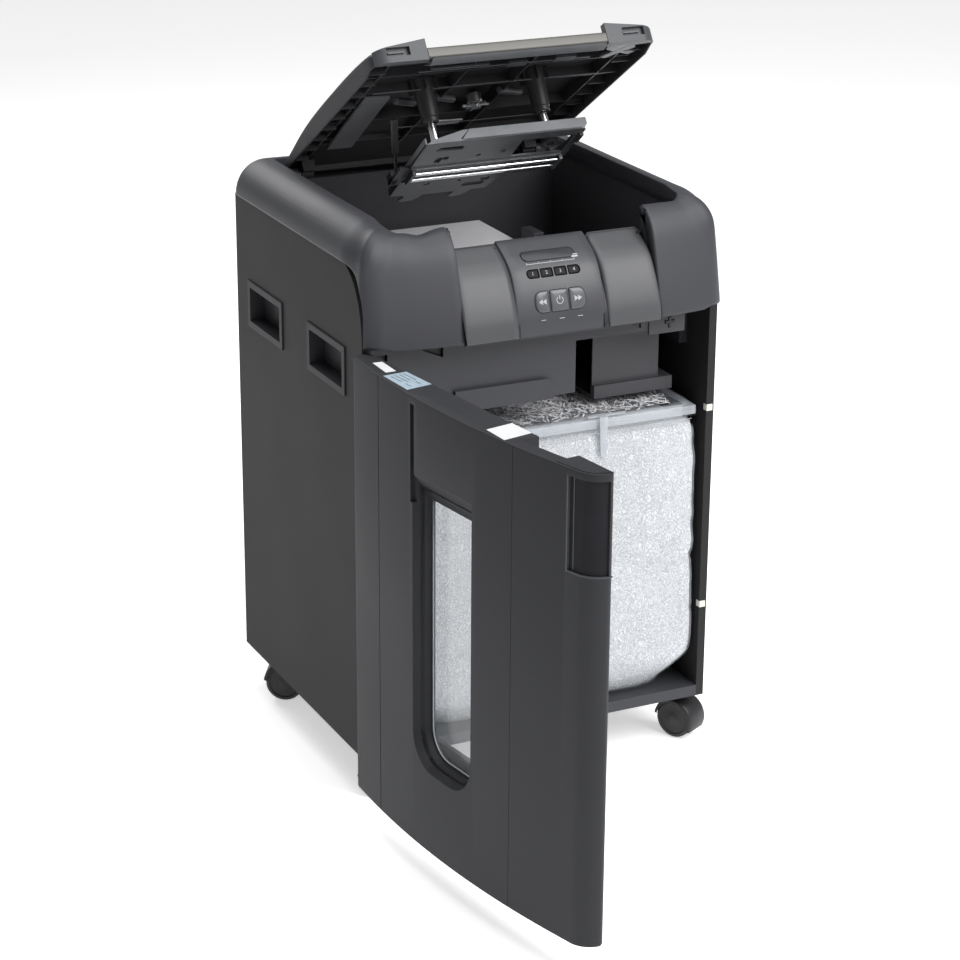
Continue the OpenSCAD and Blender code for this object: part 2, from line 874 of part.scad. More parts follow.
// Window outline as seen from the front, its y running down, narrowed by t at each edge.
module window_outline(t) {
  w = win_r - win_l;
  translate([t, -win_z1 + (t > 0 ? win_z1 - pane_z1 : 0)])
    square([w - 2 * t, (t > 0 ? pane_z1 : win_z1) - win_z0 - 45 - t]);
  for (x = [40, w - 40])
    translate([x, -win_z0 - 40])
      circle(r = 40 - t);
  translate([40, -win_z0 - 40])
    square([w - 80, 40 - t]);
  translate([t, -win_z0 - 60])
    square([w - 2 * t, 20]);
}
module hinge_notch(z) {
  translate([-door_x - 5, hinge_y - 9, z - 1])
    cube([door_x + hinge_x + 14.5, 30, knuckle_h + 2]);
}
scoop_x = 211;
scoop_z0 = 455;
scoop_z1 = 545;
scoop_r = 17;
module door_shell() {
  color(charcoal)
    door_place()
      difference() {
        union() {
          difference() {
            translate([0, 0, door_z])
              linear_extrude(door_h)
                polygon(door_outline(0));
            // hollow behind the front wall, left open at the back
            difference() {
              translate([0, 0, door_z + wall])
                linear_extrude(door_h - 2 * wall)
                  polygon(concat(
                    [[155, door_back + 5], [-205, door_back + 5]],
                    [for (i = [-6:4]) let (x = i < -5 ? -205 : i * 31) [x, door_front + 14 + bow(x)]],
                    [[155, door_front + 14 + bow(155)]]));
              translate([win_l - 4, door_front, win_z0 - 4])
                cube([win_r - win_l + 8, pane_y - door_front, win_z1 - win_z0 + 8]);
            }
          }
        }
        window_cut();
        for (z = knuckle_zs)
          hinge_notch(z);
        // rounded hinge edge that clears the cabinet as the door swings
        difference() {
          translate([-door_x - 10, hinge_y, door_z - 1])
            cube([door_x + 10 + hinge_x, 20, door_h + 2]);
          translate([hinge_x, hinge_y, door_z - 2])
            cylinder(r = hinge_clear, h = door_h + 4);
        }
        for (z = knuckle_zs)
          translate([hinge_x, hinge_y, z - 12])
            cylinder(r = hinge_r + 0.06, h = knuckle_h + 24);
        translate([scoop_x, door_front + 12, scoop_z0])
          cylinder(r = scoop_r, h = scoop_z1 - scoop_z0);
        translate([scoop_x - scoop_r, door_front - 10, scoop_z0])
          cube([2 * scoop_r, 22, scoop_z1 - scoop_z0]);
      }
}
module door_handle_cup() {
  color(dark)
    door_place()
      difference() {
        intersection() {
          translate([scoop_x, door_front + 12, scoop_z0])
            cylinder(r = scoop_r, h = scoop_z1 - scoop_z0);
          translate([scoop_x - 30, door_front + 12, scoop_z0])
            cube([60, 40, scoop_z1 - scoop_z0]);
        }
        translate([scoop_x, door_front + 12, scoop_z0 + 2])
          cylinder(r = scoop_r - 2, h = scoop_z1 - scoop_z0 - 4);
      }
}
module door_liner() {
  color(dark)
    door_place()
      difference() {
        translate([-204.5, door_back - 6, door_z + wall + 0.5])
          cube([294, 6, door_h - 2 * wall - 1]);
        translate([win_l - 22, door_back - 10, pane_z0])
          cube([win_r - win_l + 16, 20, pane_z1 - pane_z0]);
      }
}
module door_window() {
  color([0.8, 0.85, 0.88, 0.4])
    door_place()
      translate([win_l - 3.5, pane_y, win_z0 - 3])
        cube([win_r - win_l + 7, 2.5, win_z1 - win_z0 - 20]);
}
// Knuckles fixed to the cabinet with the door's pins, and the two pins of the lid.
module hinge_pins() {
  color(steel) {
    for (z = knuckle_zs) {
      translate([hinge_x, hinge_y, z - 10])
        cylinder(r = hinge_r, h = knuckle_h + 20);
      translate([hinge_x, hinge_y, z + 1])
        cylinder(r = 5.5, h = knuckle_h - 2);
      translate([-half_w, hinge_y, z + 1])
        cube([8, -half_d - hinge_y, knuckle_h - 2]);
    }
    for (x = [-lug_x - 24, lug_x - 8])
      translate([x, lid_axis_y, lid_axis_z])
        rotate([0, 90, 0])
          cylinder(r = pin_r, h = 32);
  }
}

// --- lid -----------------------------------------------------------------------------
// Lid pieces are drawn closed, with the hinge axis at the origin, and then opened.
module lid_place() {
  translate([0, lid_axis_y, lid_axis_z])
    rotate([-lid_open, 0, 0])
      children();
}
lid_x = lid_w / 2;
lid_rear = 9;
trim_t = 10;
bar_x = 111;
bar_h = 13.5;
cap_h = 24;
lid_corner = 20;
module lid_outline(t, front) {
  w = lid_w - 2 * t;
  l = front + lid_rear - 2 * t;
  translate([-w / 2, -front + t])
    union() {
      translate([0, lid_corner])
        square([w, l - lid_corner]);
      translate([lid_corner, 0])
        square([w - 2 * lid_corner, l]);
      for (x = [lid_corner, w - lid_corner])
        translate([x, lid_corner])
          circle(r = lid_corner);
    }
}
// The lid is crowned from back to front: distance from the hinge, height over the mean top.
lid_crown = [[-12, -13.6], [0, -12.5], [19, -10.3], [45, -5.5], [70, -0.7], [101, 2.7], [130, 4.3],
  [165, 5], [230, 4.9], [264, 3.8], [289, 2.3], [313, -0.2], [336, -3]];
module lid_under(drop) {
  translate([-lid_x - 2, 0, 0])
    rotate([90, 0, 90])
      linear_extrude(lid_w + 4)
        polygon(concat([[12, -60]], [for (p = lid_crown) [-p[0], rim_rise + lid_t + p[1] - drop]], [[-336, -60]]));
}
module lid_shell() {
  color(charcoal)
    lid_place()
      difference() {
        union() {
          difference() {
            intersection() {
              translate([0, 0, rim_rise])
                linear_extrude(lid_t + 6)
                  lid_outline(0, lid_l);
              lid_under(0);
            }
            intersection() {
              translate([0, 0, rim_rise - 1])
                linear_extrude(lid_t + 7)
                  lid_outline(wall, lid_l);
              lid_under(wall);
            }
            translate([-lid_x - 1, -lid_l - 1, 0])
              cube([lid_w + 2, trim_t + 1, 40]);
          }
          intersection() {
            lid_under(wall / 2);
            lid_inner_parts();
          }
        }
        rotate([0, 90, 0])
          cylinder(r = pin_r + 0.06, h = 400, center = true);
        for (x = [-rod_x, rod_x])
          translate([x, -rod_s, rim_rise - sleeve_n - 1])
            cylinder(r = rod_r + 0.08, h = sleeve_n + 12);
      }
}
module lid_inner_parts() {
  union() {
    // front wall behind the trim
    translate([-lid_x + 6, -lid_l + trim_t, rim_rise])
      cube([lid_w - 12, wall, lid_t]);
    // ribs across and along the underside
    for (y = [-60, -130, -215, -270])
      translate([-lid_x + 2, y, rim_rise + 6])
        cube([lid_w - 4, 2.4, lid_t]);
    for (x = [-150, -40, 37, 147])
      translate([x, -lid_l + trim_t, rim_rise + 6])
        cube([2.4, lid_l - trim_t, lid_t]);
    // sleeves of the press plungers
    for (x = [-rod_x, rod_x])
      translate([x, -rod_s, rim_rise - sleeve_n])
        cylinder(r = 11, h = sleeve_n + lid_t + 4);
    // hinge lugs
    for (x = [-lug_x - 8, lug_x - 8])
      translate([x, 0, 0]) {
        rotate([0, 90, 0])
          cylinder(r = 6.5, h = 16);
        translate([0, -14, -2])
          cube([16, 14, rim_rise + lid_t - wall + 2.1]);
        translate([0, -6.5, 0])
          cube([16, 10, rim_rise + 2]);
      }
  }
}
module lid_front_bar() {
  color([0.66, 0.63, 0.57])
    lid_place()
      translate([-bar_x, -lid_l, rim_rise])
        cube([2 * bar_x, trim_t, bar_h]);
}
module lid_caps() {
  color(dark)
    lid_place()
      for (side = [-1, 1])
        mirror([side < 0 ? 1 : 0, 0, 0])
          difference() {
            intersection() {
              translate([0, 0, rim_rise])
                linear_extrude(cap_h)
                  lid_outline(0, lid_l);
              translate([bar_x + 0.3, -lid_l - 1, rim_rise])
                cube([100, trim_t + 0.8, cap_h]);
              // the top falls towards the corner
              rotate([90, 0, 0])
                linear_extrude(lid_l + 10)
                  polygon([[bar_x, 0], [lid_x + 2, 0], [lid_x + 2, rim_rise + 15.5], [bar_x, rim_rise + cap_h]]);
            }
            translate([bar_x + 22, -lid_l - 2, rim_rise + 7])
              cube([30, 6, 9]);
          }
}
rod_x = 71;
rod_s = 213;
rod_r = 5;
sleeve_n = 34;
plate_s0 = 112;
plate_s1 = 252;
plate_n = 78;
press_travel = 20;
plate_tilt = 6;
plate_t = 3;
module press_place() {
  lid_place()
    translate([0, -(plate_s0 + plate_s1) / 2, rim_rise - plate_n])
      rotate([-plate_tilt, 0, 0])
        children();
}
press_half = (plate_s1 - plate_s0) / 2;
module press_plate() {
  color([0.42, 0.42, 0.44])
    press_place()
      difference() {
        union() {
          translate([-100, -press_half, 0])
            cube([200, 2 * press_half, plate_t]);
          translate([-105, -press_half, 0])
            cube([210, plate_t, 14]);
          for (x = [-100, 97])
            translate([x, -press_half, 0])
              cube([3, 2 * press_half, 10]);
          for (x = [-70, 18])
            translate([x, press_half - 1, 0])
              cube([26, 13, plate_t]);
          // brackets that hold the two bars
          for (x = [-96, 92])
            translate([x, bar_ys[0] - 5, -6.5])
              cube([4, bar_ys[1] - bar_ys[0] + 10, 7]);
        }
        for (x = [-62, -20, 20, 62], y = [-34, 40])
          translate([x, y, -1])
            cylinder(r = 4.5, h = 10);
        // rear corner clears the side stop of the tray
        translate([83, 30, -8])
          cube([30, 60, 30]);
      }
}
bar_ys = [2, 17];
module press_rods() {
  color([0.8, 0.8, 0.82]) {
    for (x = [-rod_x, rod_x])
      union() {
        lid_place()
          translate([x, -rod_s, rim_rise - plate_n + 9])
            cylinder(r = rod_r, h = plate_n - 9 - sleeve_n + 11);
        press_place()
          translate([x, -rod_s + (plate_s0 + plate_s1) / 2, plate_t])
            cylinder(r = 10, h = 14);
      }
    // two bright bars under the plate
    for (y = bar_ys)
      press_place()
        translate([-92, y, -3.2])
          rotate([0, 90, 0])
            cylinder(r = 2.5, h = 184);
  }
}

// --- castors -------------------------------------------------------------------------
axle_z = wheel_d / 2;
wheel_t = 11;
body_t = 9;
module castor_at(x, y, turn) {
  translate([x, y, 0])
    rotate([0, 0, turn])
      children();
}
module castor_fork(x, y, turn) {
  color(dark)
    castor_at(x, y, turn)
      difference() {
        union() {
          translate([0, 0, base_z - 14])
            cylinder(r = stem_r, h = 25);
          translate([0, 0, base_z - 13])
            cylinder(r = 9, h = 12);
          // hood over the wheels
          translate([trail, 0, axle_z])
            rotate([90, 0, 0])
              intersection() {
                difference() {
                  cylinder(r = axle_z + 3, h = 2 * wheel_t + body_t + 5, center = true);
                  cylinder(r = axle_z + 1, h = 2 * wheel_t + body_t + 1.6, center = true);
                }
                translate([-40, 8, -40])
                  cube([80, 40, 80]);
              }
          // middle web that carries the axle
          translate([trail, 0, axle_z])
            rotate([90, 0, 0])
              intersection() {
                cylinder(r = axle_z + 2, h = body_t - 1, center = true);
                translate([-40, -8, -20])
                  cube([80, 60, 40]);
              }
          translate([0, -9, base_z - 14])
            cube([trail, 18, 6]);
        }
        translate([trail, 0, axle_z])
          rotate([90, 0, 0])
            cylinder(r = 3.06, h = 100, center = true);
      }
}
module castor_wheels(x, y, turn) {
  color([0.12, 0.12, 0.12])
    castor_at(x, y, turn)
      translate([trail, 0, axle_z])
        rotate([90, 0, 0])
          union() {
            for (side = [-1, 1])
              translate([0, 0, side * (body_t + wheel_t) / 2])
                rotate_extrude($fn = 64)
                  polygon([[0, -wheel_t / 2], [axle_z - 2, -wheel_t / 2], [axle_z, -wheel_t / 2 + 2],
                    [axle_z, wheel_t / 2 - 2], [axle_z - 2, wheel_t / 2], [0, wheel_t / 2]]);
            cylinder(r = 3, h = body_t + 2 * wheel_t, center = true);
          }
}
turn_fl = -30;
turn_fr = -62;
turn_bl = -30;
turn_br = -84;
module castor_fork_fl() { castor_fork(-stem_x, stem_ys[0], turn_fl); }
module castor_fork_fr() { castor_fork(stem_x, stem_ys[0], turn_fr); }
module castor_fork_bl() { castor_fork(-stem_x, stem_ys[1], turn_bl); }
module castor_fork_br() { castor_fork(stem_x, stem_ys[1], turn_br); }
module castor_wheels_fl() { castor_wheels(-stem_x, stem_ys[0], turn_fl); }
module castor_wheels_fr() { castor_wheels(stem_x, stem_ys[0], turn_fr); }
module castor_wheels_bl() { castor_wheels(-stem_x, stem_ys[1], turn_bl); }
module castor_wheels_br() { castor_wheels(stem_x, stem_ys[1], turn_br); }

base_tray();
left_panel();
right_panel();
back_panel();
grip_cups();
shroud();
side_fascias();
control_panel();
display_lens();
key_1();
key_2();
key_3();
key_4();
button_reverse();
button_power();
button_forward();
front_apron();
drive_housing();
latch_bracket();
interlock_plunger();
paper_tray();
paper_stack();
feed_roller_front();
feed_roller_rear();
feed_belts();
cutter_front();
cutter_rear();
cutter_combs();
cutter_frame();
cutter_gear_front();
cutter_gear_rear();
motor();
motor_pinion();
control_board();
power_inlet();
power_switch();
panel_screws();
bag_frame();
bag_rails();
waste_bag();
shredded_paper();
door_shell();
door_liner();
door_window();
door_handle_cup();
door_catches();
hinge_pins();
lid_shell();
lid_front_bar();
lid_caps();
press_plate();
press_rods();
castor_fork_fl();
castor_fork_fr();
castor_fork_bl();
castor_fork_br();
castor_wheels_fl();
castor_wheels_fr();
castor_wheels_bl();
castor_wheels_br();
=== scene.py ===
import json
import math
import random

import bpy
import bmesh
from mathutils import Matrix, Vector, noise


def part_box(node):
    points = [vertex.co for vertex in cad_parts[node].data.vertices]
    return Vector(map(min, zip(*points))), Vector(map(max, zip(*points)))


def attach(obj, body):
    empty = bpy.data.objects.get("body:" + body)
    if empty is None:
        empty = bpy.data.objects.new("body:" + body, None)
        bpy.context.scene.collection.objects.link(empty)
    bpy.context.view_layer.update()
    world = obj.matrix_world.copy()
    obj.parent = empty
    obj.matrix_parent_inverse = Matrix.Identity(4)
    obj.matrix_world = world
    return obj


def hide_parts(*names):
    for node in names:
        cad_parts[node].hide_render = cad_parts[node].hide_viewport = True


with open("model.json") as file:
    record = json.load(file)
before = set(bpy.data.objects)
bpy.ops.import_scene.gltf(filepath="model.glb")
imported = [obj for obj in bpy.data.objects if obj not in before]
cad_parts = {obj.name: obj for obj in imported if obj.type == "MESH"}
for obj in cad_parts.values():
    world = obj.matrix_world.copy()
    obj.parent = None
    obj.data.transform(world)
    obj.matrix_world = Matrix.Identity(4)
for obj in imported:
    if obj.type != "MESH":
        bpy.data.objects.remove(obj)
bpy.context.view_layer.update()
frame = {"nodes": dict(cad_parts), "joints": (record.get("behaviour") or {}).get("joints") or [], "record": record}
random.seed(7)

MM = 0.001
NODES = frame["nodes"]
JOINTS = {j["name"]: j for j in frame["joints"]}
SCENE = bpy.context.scene


# --- camera ---
CAM_POS = Vector((-1.3437, -2.8112, 1.4633))
CAM_AZ, CAM_PITCH, CAM_ROLL = (math.radians(a) for a in (25.75, 20.28, 0.378))
forward = Vector((math.sin(CAM_AZ) * math.cos(CAM_PITCH),
                  math.cos(CAM_AZ) * math.cos(CAM_PITCH), -math.sin(CAM_PITCH)))
level = Vector((math.cos(CAM_AZ), -math.sin(CAM_AZ), 0))
upright = level.cross(forward)
right = level * math.cos(CAM_ROLL) + upright * math.sin(CAM_ROLL)
up = upright * math.cos(CAM_ROLL) - level * math.sin(CAM_ROLL)
cam_data = bpy.data.cameras.new("camera")
cam_data.lens = 102.0
cam_data.sensor_width = 36
cam_data.clip_end = 60
camera = bpy.data.objects.new("camera", cam_data)
SCENE.collection.objects.link(camera)
axes = Matrix((right, up, -forward)).transposed().to_4x4()
camera.matrix_world = Matrix.Translation(CAM_POS) @ axes
SCENE.camera = camera


# --- materials ---
LOOKS = {}
GLOSS_SPREAD = 0.08


def set_inputs(tree, node, inputs):
    """Gives each input its value, or links it when the value is another node's output."""
    for name, value in inputs.items():
        if isinstance(value, bpy.types.NodeSocket):
            tree.links.new(value, node.inputs[name])
        else:
            node.inputs[name].default_value = value


def add_node(tree, kind, inputs, **settings):
    node = tree.nodes.new("ShaderNode" + kind)
    for name, value in settings.items():
        setattr(node, name, value)
    set_inputs(tree, node, inputs)
    return node


def ramp_between(tree, fac, positions, colours):
    ramp = add_node(tree, "ValToRGB", {"Fac": fac})
    for stop, position, colour in zip(ramp.color_ramp.elements, positions, colours):
        stop.position = position
        stop.color = (*colour, 1)
    return ramp.outputs["Color"]


def relief(tree, height, strength, distance):
    bump = add_node(tree, "Bump", {"Height": height, "Strength": strength, "Distance": distance})
    return bump.outputs["Normal"]


def material(name, colour, rough=0.45, metal=0.0, spread=0.10, cloud=35, grain=900, bump=0.05,
             stretch=None, coat=0.0, specular=0.5, alpha=1.0, height=0.0004):
    """Procedural plastic, metal or paper: clouded colour, uneven gloss and a fine grain."""
    m = LOOKS[name] = bpy.data.materials.new(name)
    m.use_nodes = True
    t = m.node_tree
    where = add_node(t, "TexCoord", {}).outputs["Object"]
    if stretch:
        where = add_node(t, "Mapping", {"Vector": where, "Scale": stretch}).outputs["Vector"]
    clouds = add_node(t, "TexNoise", {"Vector": where, "Scale": cloud, "Detail": 5}).outputs["Fac"]
    fine = add_node(t, "TexNoise", {"Vector": where, "Scale": grain, "Detail": 3}).outputs["Fac"]
    gloss = add_node(t, "MapRange", {"Value": clouds, "To Min": max(0.02, rough - GLOSS_SPREAD),
                                     "To Max": min(1, rough + GLOSS_SPREAD)})
    shades = [c * (1 - spread) for c in colour], [min(1, c * (1 + spread)) for c in colour]
    set_inputs(t, t.nodes["Principled BSDF"], {
        "Base Color": ramp_between(t, clouds, (0.3, 0.7), shades), "Roughness": gloss.outputs["Result"],
        "Normal": relief(t, fine, bump, height), "Metallic": metal, "Specular IOR Level": specular,
        "Coat Weight": coat, "Alpha": alpha})


material("cabinet_board", (0.027, 0.0265, 0.028), 0.58, bump=0.25, grain=1400, cloud=6, spread=0.06,
         specular=0.10)
material("charcoal_plastic", (0.040, 0.041, 0.047), 0.46, bump=0.18, grain=1600, cloud=8, spread=0.05,
         specular=0.30)
material("black_plastic", (0.018, 0.018, 0.020), 0.44, bump=0.12, grain=1200, cloud=14, specular=0.35)
material("panel_grey", (0.043, 0.044, 0.050), 0.38, specular=0.4, bump=0.12, grain=1800, cloud=10,
         spread=0.04)
material("lens_dark", (0.034, 0.035, 0.039), 0.36, bump=0.02, specular=0.3)
material("button_grey", (0.075, 0.077, 0.084), 0.32, bump=0.08, cloud=60)
material("key_black", (0.008, 0.008, 0.009), 0.45, bump=0.03, specular=0.12)
material("steel", (0.55, 0.55, 0.57), 0.30, 1.0, stretch=(1, 12, 12), bump=0.08)
material("zinc_steel", (0.42, 0.43, 0.44), 0.38, 1.0, spread=0.16, cloud=90, bump=0.10)
material("brass_gear", (0.50, 0.40, 0.24), 0.36, 1.0, spread=0.12, cloud=70)
material("motor_can", (0.30, 0.31, 0.32), 0.36, 0.9, stretch=(1, 8, 8))
material("board_green", (0.02, 0.10, 0.04), 0.40, spread=0.2, cloud=220)
material("switch_red", (0.45, 0.02, 0.015), 0.28, coat=0.3)
material("paper_white", (0.74, 0.74, 0.76), 0.72, spread=0.02, bump=0.25, grain=2600, specular=0.3)
material("shreds", (0.80, 0.80, 0.82), 0.75, spread=0.10, cloud=240, bump=0.8, grain=420, specular=0.3,
         height=0.002)
material("roller_rubber", (0.020, 0.020, 0.020), 0.62, bump=0.3, grain=700, spread=0.2)
material("frame_blue_grey", (0.52, 0.55, 0.59), 0.38, bump=0.08, cloud=40, spread=0.05, alpha=0.5)
material("smoked_window", (0.35, 0.37, 0.38), 0.06, bump=0.01, coat=0.5, alpha=0.22)
material("ivory_plastic", (0.72, 0.70, 0.62), 0.40, spread=0.05, cloud=90)
material("champagne", (0.10, 0.097, 0.090), 0.48, 0.5, stretch=(1, 30, 30), spread=0.07, cloud=30, bump=0.08)
material("plate_grey", (0.085, 0.088, 0.094), 0.36, 0.5, spread=0.14, cloud=50, bump=0.06)
material("chrome", (0.80, 0.80, 0.82), 0.12, 1.0, spread=0.05, cloud=120, bump=0.02)
material("bag_film", (0.80, 0.84, 0.88), 0.18, spread=0.04, cloud=12, bump=0.0, alpha=0.17, coat=0.15)
material("print_grey", (0.36, 0.36, 0.38), 0.5, spread=0.05)
material("door_charcoal", (0.031, 0.0315, 0.035), 0.50, bump=0.18, grain=1600, cloud=8, spread=0.06,
         specular=0.12)
material("label_white", (0.62, 0.63, 0.64), 0.45, spread=0.04, cloud=120)
material("label_blue", (0.30, 0.38, 0.44), 0.45, spread=0.08, cloud=160)
material("shadow_gap", (0.006, 0.006, 0.006), 0.6)
material("cap_grey", (0.050, 0.052, 0.057), 0.40, bump=0.10, specular=0.35)
material("fascia_grey", (0.060, 0.061, 0.066), 0.42, bump=0.14, grain=1700, cloud=9, spread=0.05,
         specular=0.4)
# darker plastic colour for the handle recess: painted shade
material("grip_recess_shade", (0.017, 0.017, 0.020), 0.60, bump=0.2, grain=1300, specular=0.08)
material("tray_grey", (0.048, 0.047, 0.053), 0.50, bump=0.15, grain=1500, cloud=7, spread=0.06, specular=0.3)
material("rib_grey", (0.075, 0.077, 0.083), 0.42, bump=0.08, specular=0.35)


def paper_strips(name, scale=260):
    """Curled narrow strips of paper pressed together: pale ribbons with thin dark lines of painted shade in the
    gaps between them.
    """
    t = LOOKS[name].node_tree
    where = add_node(t, "TexCoord", {}).outputs["Object"]
    warp = add_node(t, "TexNoise", {"Vector": where, "Scale": 55})
    mix = add_node(t, "Mix", {"Factor": 0.035, "A": where, "B": warp.outputs["Color"]}, data_type="VECTOR")
    cells = add_node(t, "TexVoronoi", {"Vector": mix.outputs["Result"], "Scale": scale},
                     feature="DISTANCE_TO_EDGE")
    edge = cells.outputs["Distance"]
    # the dark end of the ramp is painted shade in the gaps between the strips
    set_inputs(t, t.nodes["Principled BSDF"], {
        "Base Color": ramp_between(t, edge, (0.02, 0.22), ((0.36, 0.37, 0.40), (0.68, 0.69, 0.70))),
        "Normal": relief(t, edge, 0.8, 0.002)})


def wrinkled(name, scale=22):
    """Long soft creases of a thin film."""
    t = LOOKS[name].node_tree
    where = add_node(t, "TexCoord", {}).outputs["Object"]
    where = add_node(t, "Mapping", {"Vector": where, "Scale": (1, 1, 0.35)}).outputs["Vector"]
    crease = add_node(t, "TexNoise", {"Vector": where, "Scale": scale, "Detail": 4, "Distortion": 1.6})
    set_inputs(t, t.nodes["Principled BSDF"], {"Normal": relief(t, crease.outputs["Fac"], 0.5, 0.006)})


paper_strips("shreds")
wrinkled("bag_film")


# --- mesh tools ---
class Form:
    """Collects solids in millimetres and turns them into one piece."""

    def __init__(self):
        self.verts, self.faces = [], []

    def add(self, verts, faces, at=None):
        n = len(self.verts)
        self.verts += [at @ Vector(v) if at else Vector(v) for v in verts]
        self.faces += [[i + n for i in f] for f in faces]
        return self

    def box(self, lo, hi, at=None):
        x0, y0, z0 = lo
        x1, y1, z1 = hi
        return self.prism([(x0, y0), (x1, y0), (x1, y1), (x0, y1)], z0, z1, at=at)

    def prism(self, outline, a, b, axis="z", at=None):
        order = {"x": lambda p, q, h: (h, p, q), "y": lambda p, q, h: (p, h, q),
                 "z": lambda p, q, h: (p, q, h)}[axis]
        n = len(outline)
        verts = [order(p, q, h) for h in (a, b) for p, q in outline]
        faces = [list(range(n))[::-1], list(range(n, 2 * n))]
        faces += [[i, (i + 1) % n, n + (i + 1) % n, n + i] for i in range(n)]
        return self.add(verts, faces, at)

    def lathe(self, profile, at=None, n=32, arc=None):
        """Turns a profile of (radius, height) about Z; arc is a pair of angles for a part turn."""
        a0, a1 = (math.radians(a) for a in arc) if arc else (0, 2 * math.pi)
        steps = n + 1 if arc else n
        verts, faces = [], []
        for i in range(steps):
            a = a0 + (a1 - a0) * i / n
            verts += [(r * math.cos(a), r * math.sin(a), h) for r, h in profile]
        k = len(profile)
        for i in range(n):
            j = (i + 1) % steps
            for c in range(k):
                d = (c + 1) % k
                faces.append([i * k + c, j * k + c, j * k + d, i * k + d])
        if arc:
            faces += [list(range(k)), list(range(n * k, n * k + k))[::-1]]
        return self.add(verts, faces, at)

    def rod(self, a, b, r, n=20, edge=0.5):
        a, b = Vector(a), Vector(b)
        length = (b - a).length
        turn = Vector((0, 0, 1)).rotation_difference(b - a).to_matrix().to_4x4()
        rings = [(r - edge, 0), (r, edge), (r, length - edge), (r - edge, length)]
        at = Matrix.Translation(a) @ turn
        verts = [(q * math.cos(2 * math.pi * i / n), q * math.sin(2 * math.pi * i / n), h)
                 for q, h in rings for i in range(n)]
        faces = [list(range(n))[::-1], list(range(3 * n, 4 * n))]
        faces += [[k * n + i, k * n + (i + 1) % n, (k + 1) * n + (i + 1) % n, (k + 1) * n + i]
                  for k in range(3) for i in range(n)]
        return self.add(verts, faces, at)

    def loft(self, rings, close=True, caps=True):
        """Rings of equal length joined side by side."""
        n, k = len(rings[0]), len(rings)
        verts = [p for ring in rings for p in ring]
        span = n if close else n - 1
        faces = [[a * n + i, a * n + (i + 1) % n, (a + 1) * n + (i + 1) % n, (a + 1) * n + i]
                 for a in range(k - 1) for i in range(span)]
        if caps and close:
            faces += [list(range(n))[::-1], list(range((k - 1) * n, k * n))]
        return self.add(verts, faces)

    def skin(self, rings):
        """Open surface through rings of equal length."""
        return self.loft(rings, close=False, caps=False)

    def object(self, name, merge=0):
        """Blender object of this form, with points closer than merge joined."""
        bm = bmesh.new()
        for v in self.verts:
            bm.verts.new(v * MM)
        bm.verts.ensure_lookup_table()
        for f in self.faces:
            if len(set(f)) > 2:
                try:
                    bm.faces.new([bm.verts[i] for i in f])
                except ValueError:  # the same face twice
                    pass
        if merge:
            bmesh.ops.remove_doubles(bm, verts=bm.verts, dist=merge * MM)
            bmesh.ops.dissolve_degenerate(bm, edges=bm.edges, dist=merge * MM)
        bmesh.ops.recalc_face_normals(bm, faces=bm.faces)
        mesh = bpy.data.meshes.new(name)
        bm.to_mesh(mesh)
        bm.free()
        obj = bpy.data.objects.new(name, mesh)
        SCENE.collection.objects.link(obj)
        return obj

    def piece(self, name, body, look, nodes=(), slot=None, sharp=35, bevel=0.0, segments=2,
              thick=0.0, merge=0.002, cuts=(), paint=None):
        """Shown piece on a body; the slot argument is not used, paint is a look and a test."""
        obj = self.object(name, merge)
        obj.data.materials.append(LOOKS[look])
        if thick:
            solid = obj.modifiers.new("wall", "SOLIDIFY")
            solid.thickness = thick * MM
            solid.offset = -1
        for c in cuts:
            carve(obj, c)
        if paint:
            obj.data.materials.append(LOOKS[paint[0]])
            for face in obj.data.polygons:
                if paint[1](face.center / MM, face.normal):
                    face.material_index = 1
        if body in PLACES:
            obj.data.transform(PLACES[body])
        finish_edges(obj, sharp, bevel, segments)
        if nodes:
            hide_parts(*nodes)
        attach(obj, body)


def finish_edges(obj, sharp, bevel, segments):
    """Smooth shading up to an angle, and bevels on the edges beyond it."""
    obj.data.shade_smooth()
    obj.data.set_sharp_from_angle(angle=math.radians(sharp))
    if bevel:
        b = obj.modifiers.new("edges", "BEVEL")
        b.width = bevel * MM
        b.segments = segments
        b.limit_method = "ANGLE"
        b.angle_limit = math.radians(sharp)
        b.harden_normals = True
        b.use_clamp_overlap = True


def bake(obj):
    """Applies the modifiers made so far."""
    bpy.context.view_layer.update()
    made = bpy.data.meshes.new_from_object(obj.evaluated_get(bpy.context.evaluated_depsgraph_get()))
    obj.modifiers.clear()
    obj.data = made


def carve(obj, form):
    """Cuts a Form out of a piece."""
    cutter = form.object("cutter")
    mod = obj.modifiers.new("cut", "BOOLEAN")
    mod.operation = "DIFFERENCE"
    mod.solver = "EXACT"
    mod.object = cutter
    bake(obj)
    bpy.data.objects.remove(cutter)


def catmull(points, per=6):
    """Smooth curve through points of any dimension."""
    pts = [Vector(p) for p in points]
    out = []
    for i in range(len(pts) - 1):
        p0, p1, p2, p3 = pts[max(i - 1, 0)], pts[i], pts[i + 1], pts[min(i + 2, len(pts) - 1)]
        for k in range(per):
            t = k / per
            out.append(0.5 * (2 * p1 + (p2 - p0) * t + (2 * p0 - 5 * p1 + 4 * p2 - p3) * t * t
                              + (3 * p1 - p0 - 3 * p2 + p3) * t ** 3))
    return out + [pts[-1]]


def spread(points, n):
    """n points at even distances along a polyline."""
    pts = [Vector(p) for p in points]
    run = [0.0]
    for a, b in zip(pts, pts[1:]):
        run.append(run[-1] + (b - a).length)
    out, k = [], 0
    for i in range(n):
        d = run[-1] * i / (n - 1)
        while k < len(run) - 2 and run[k + 1] < d:
            k += 1
        s = run[k + 1] - run[k]
        out.append(pts[k].lerp(pts[k + 1], (d - run[k]) / s if s else 0))
    return out


def even_ring(outline, n):
    """n points at even distances round a closed outline."""
    return spread(outline + outline[:1], n + 1)[:-1]


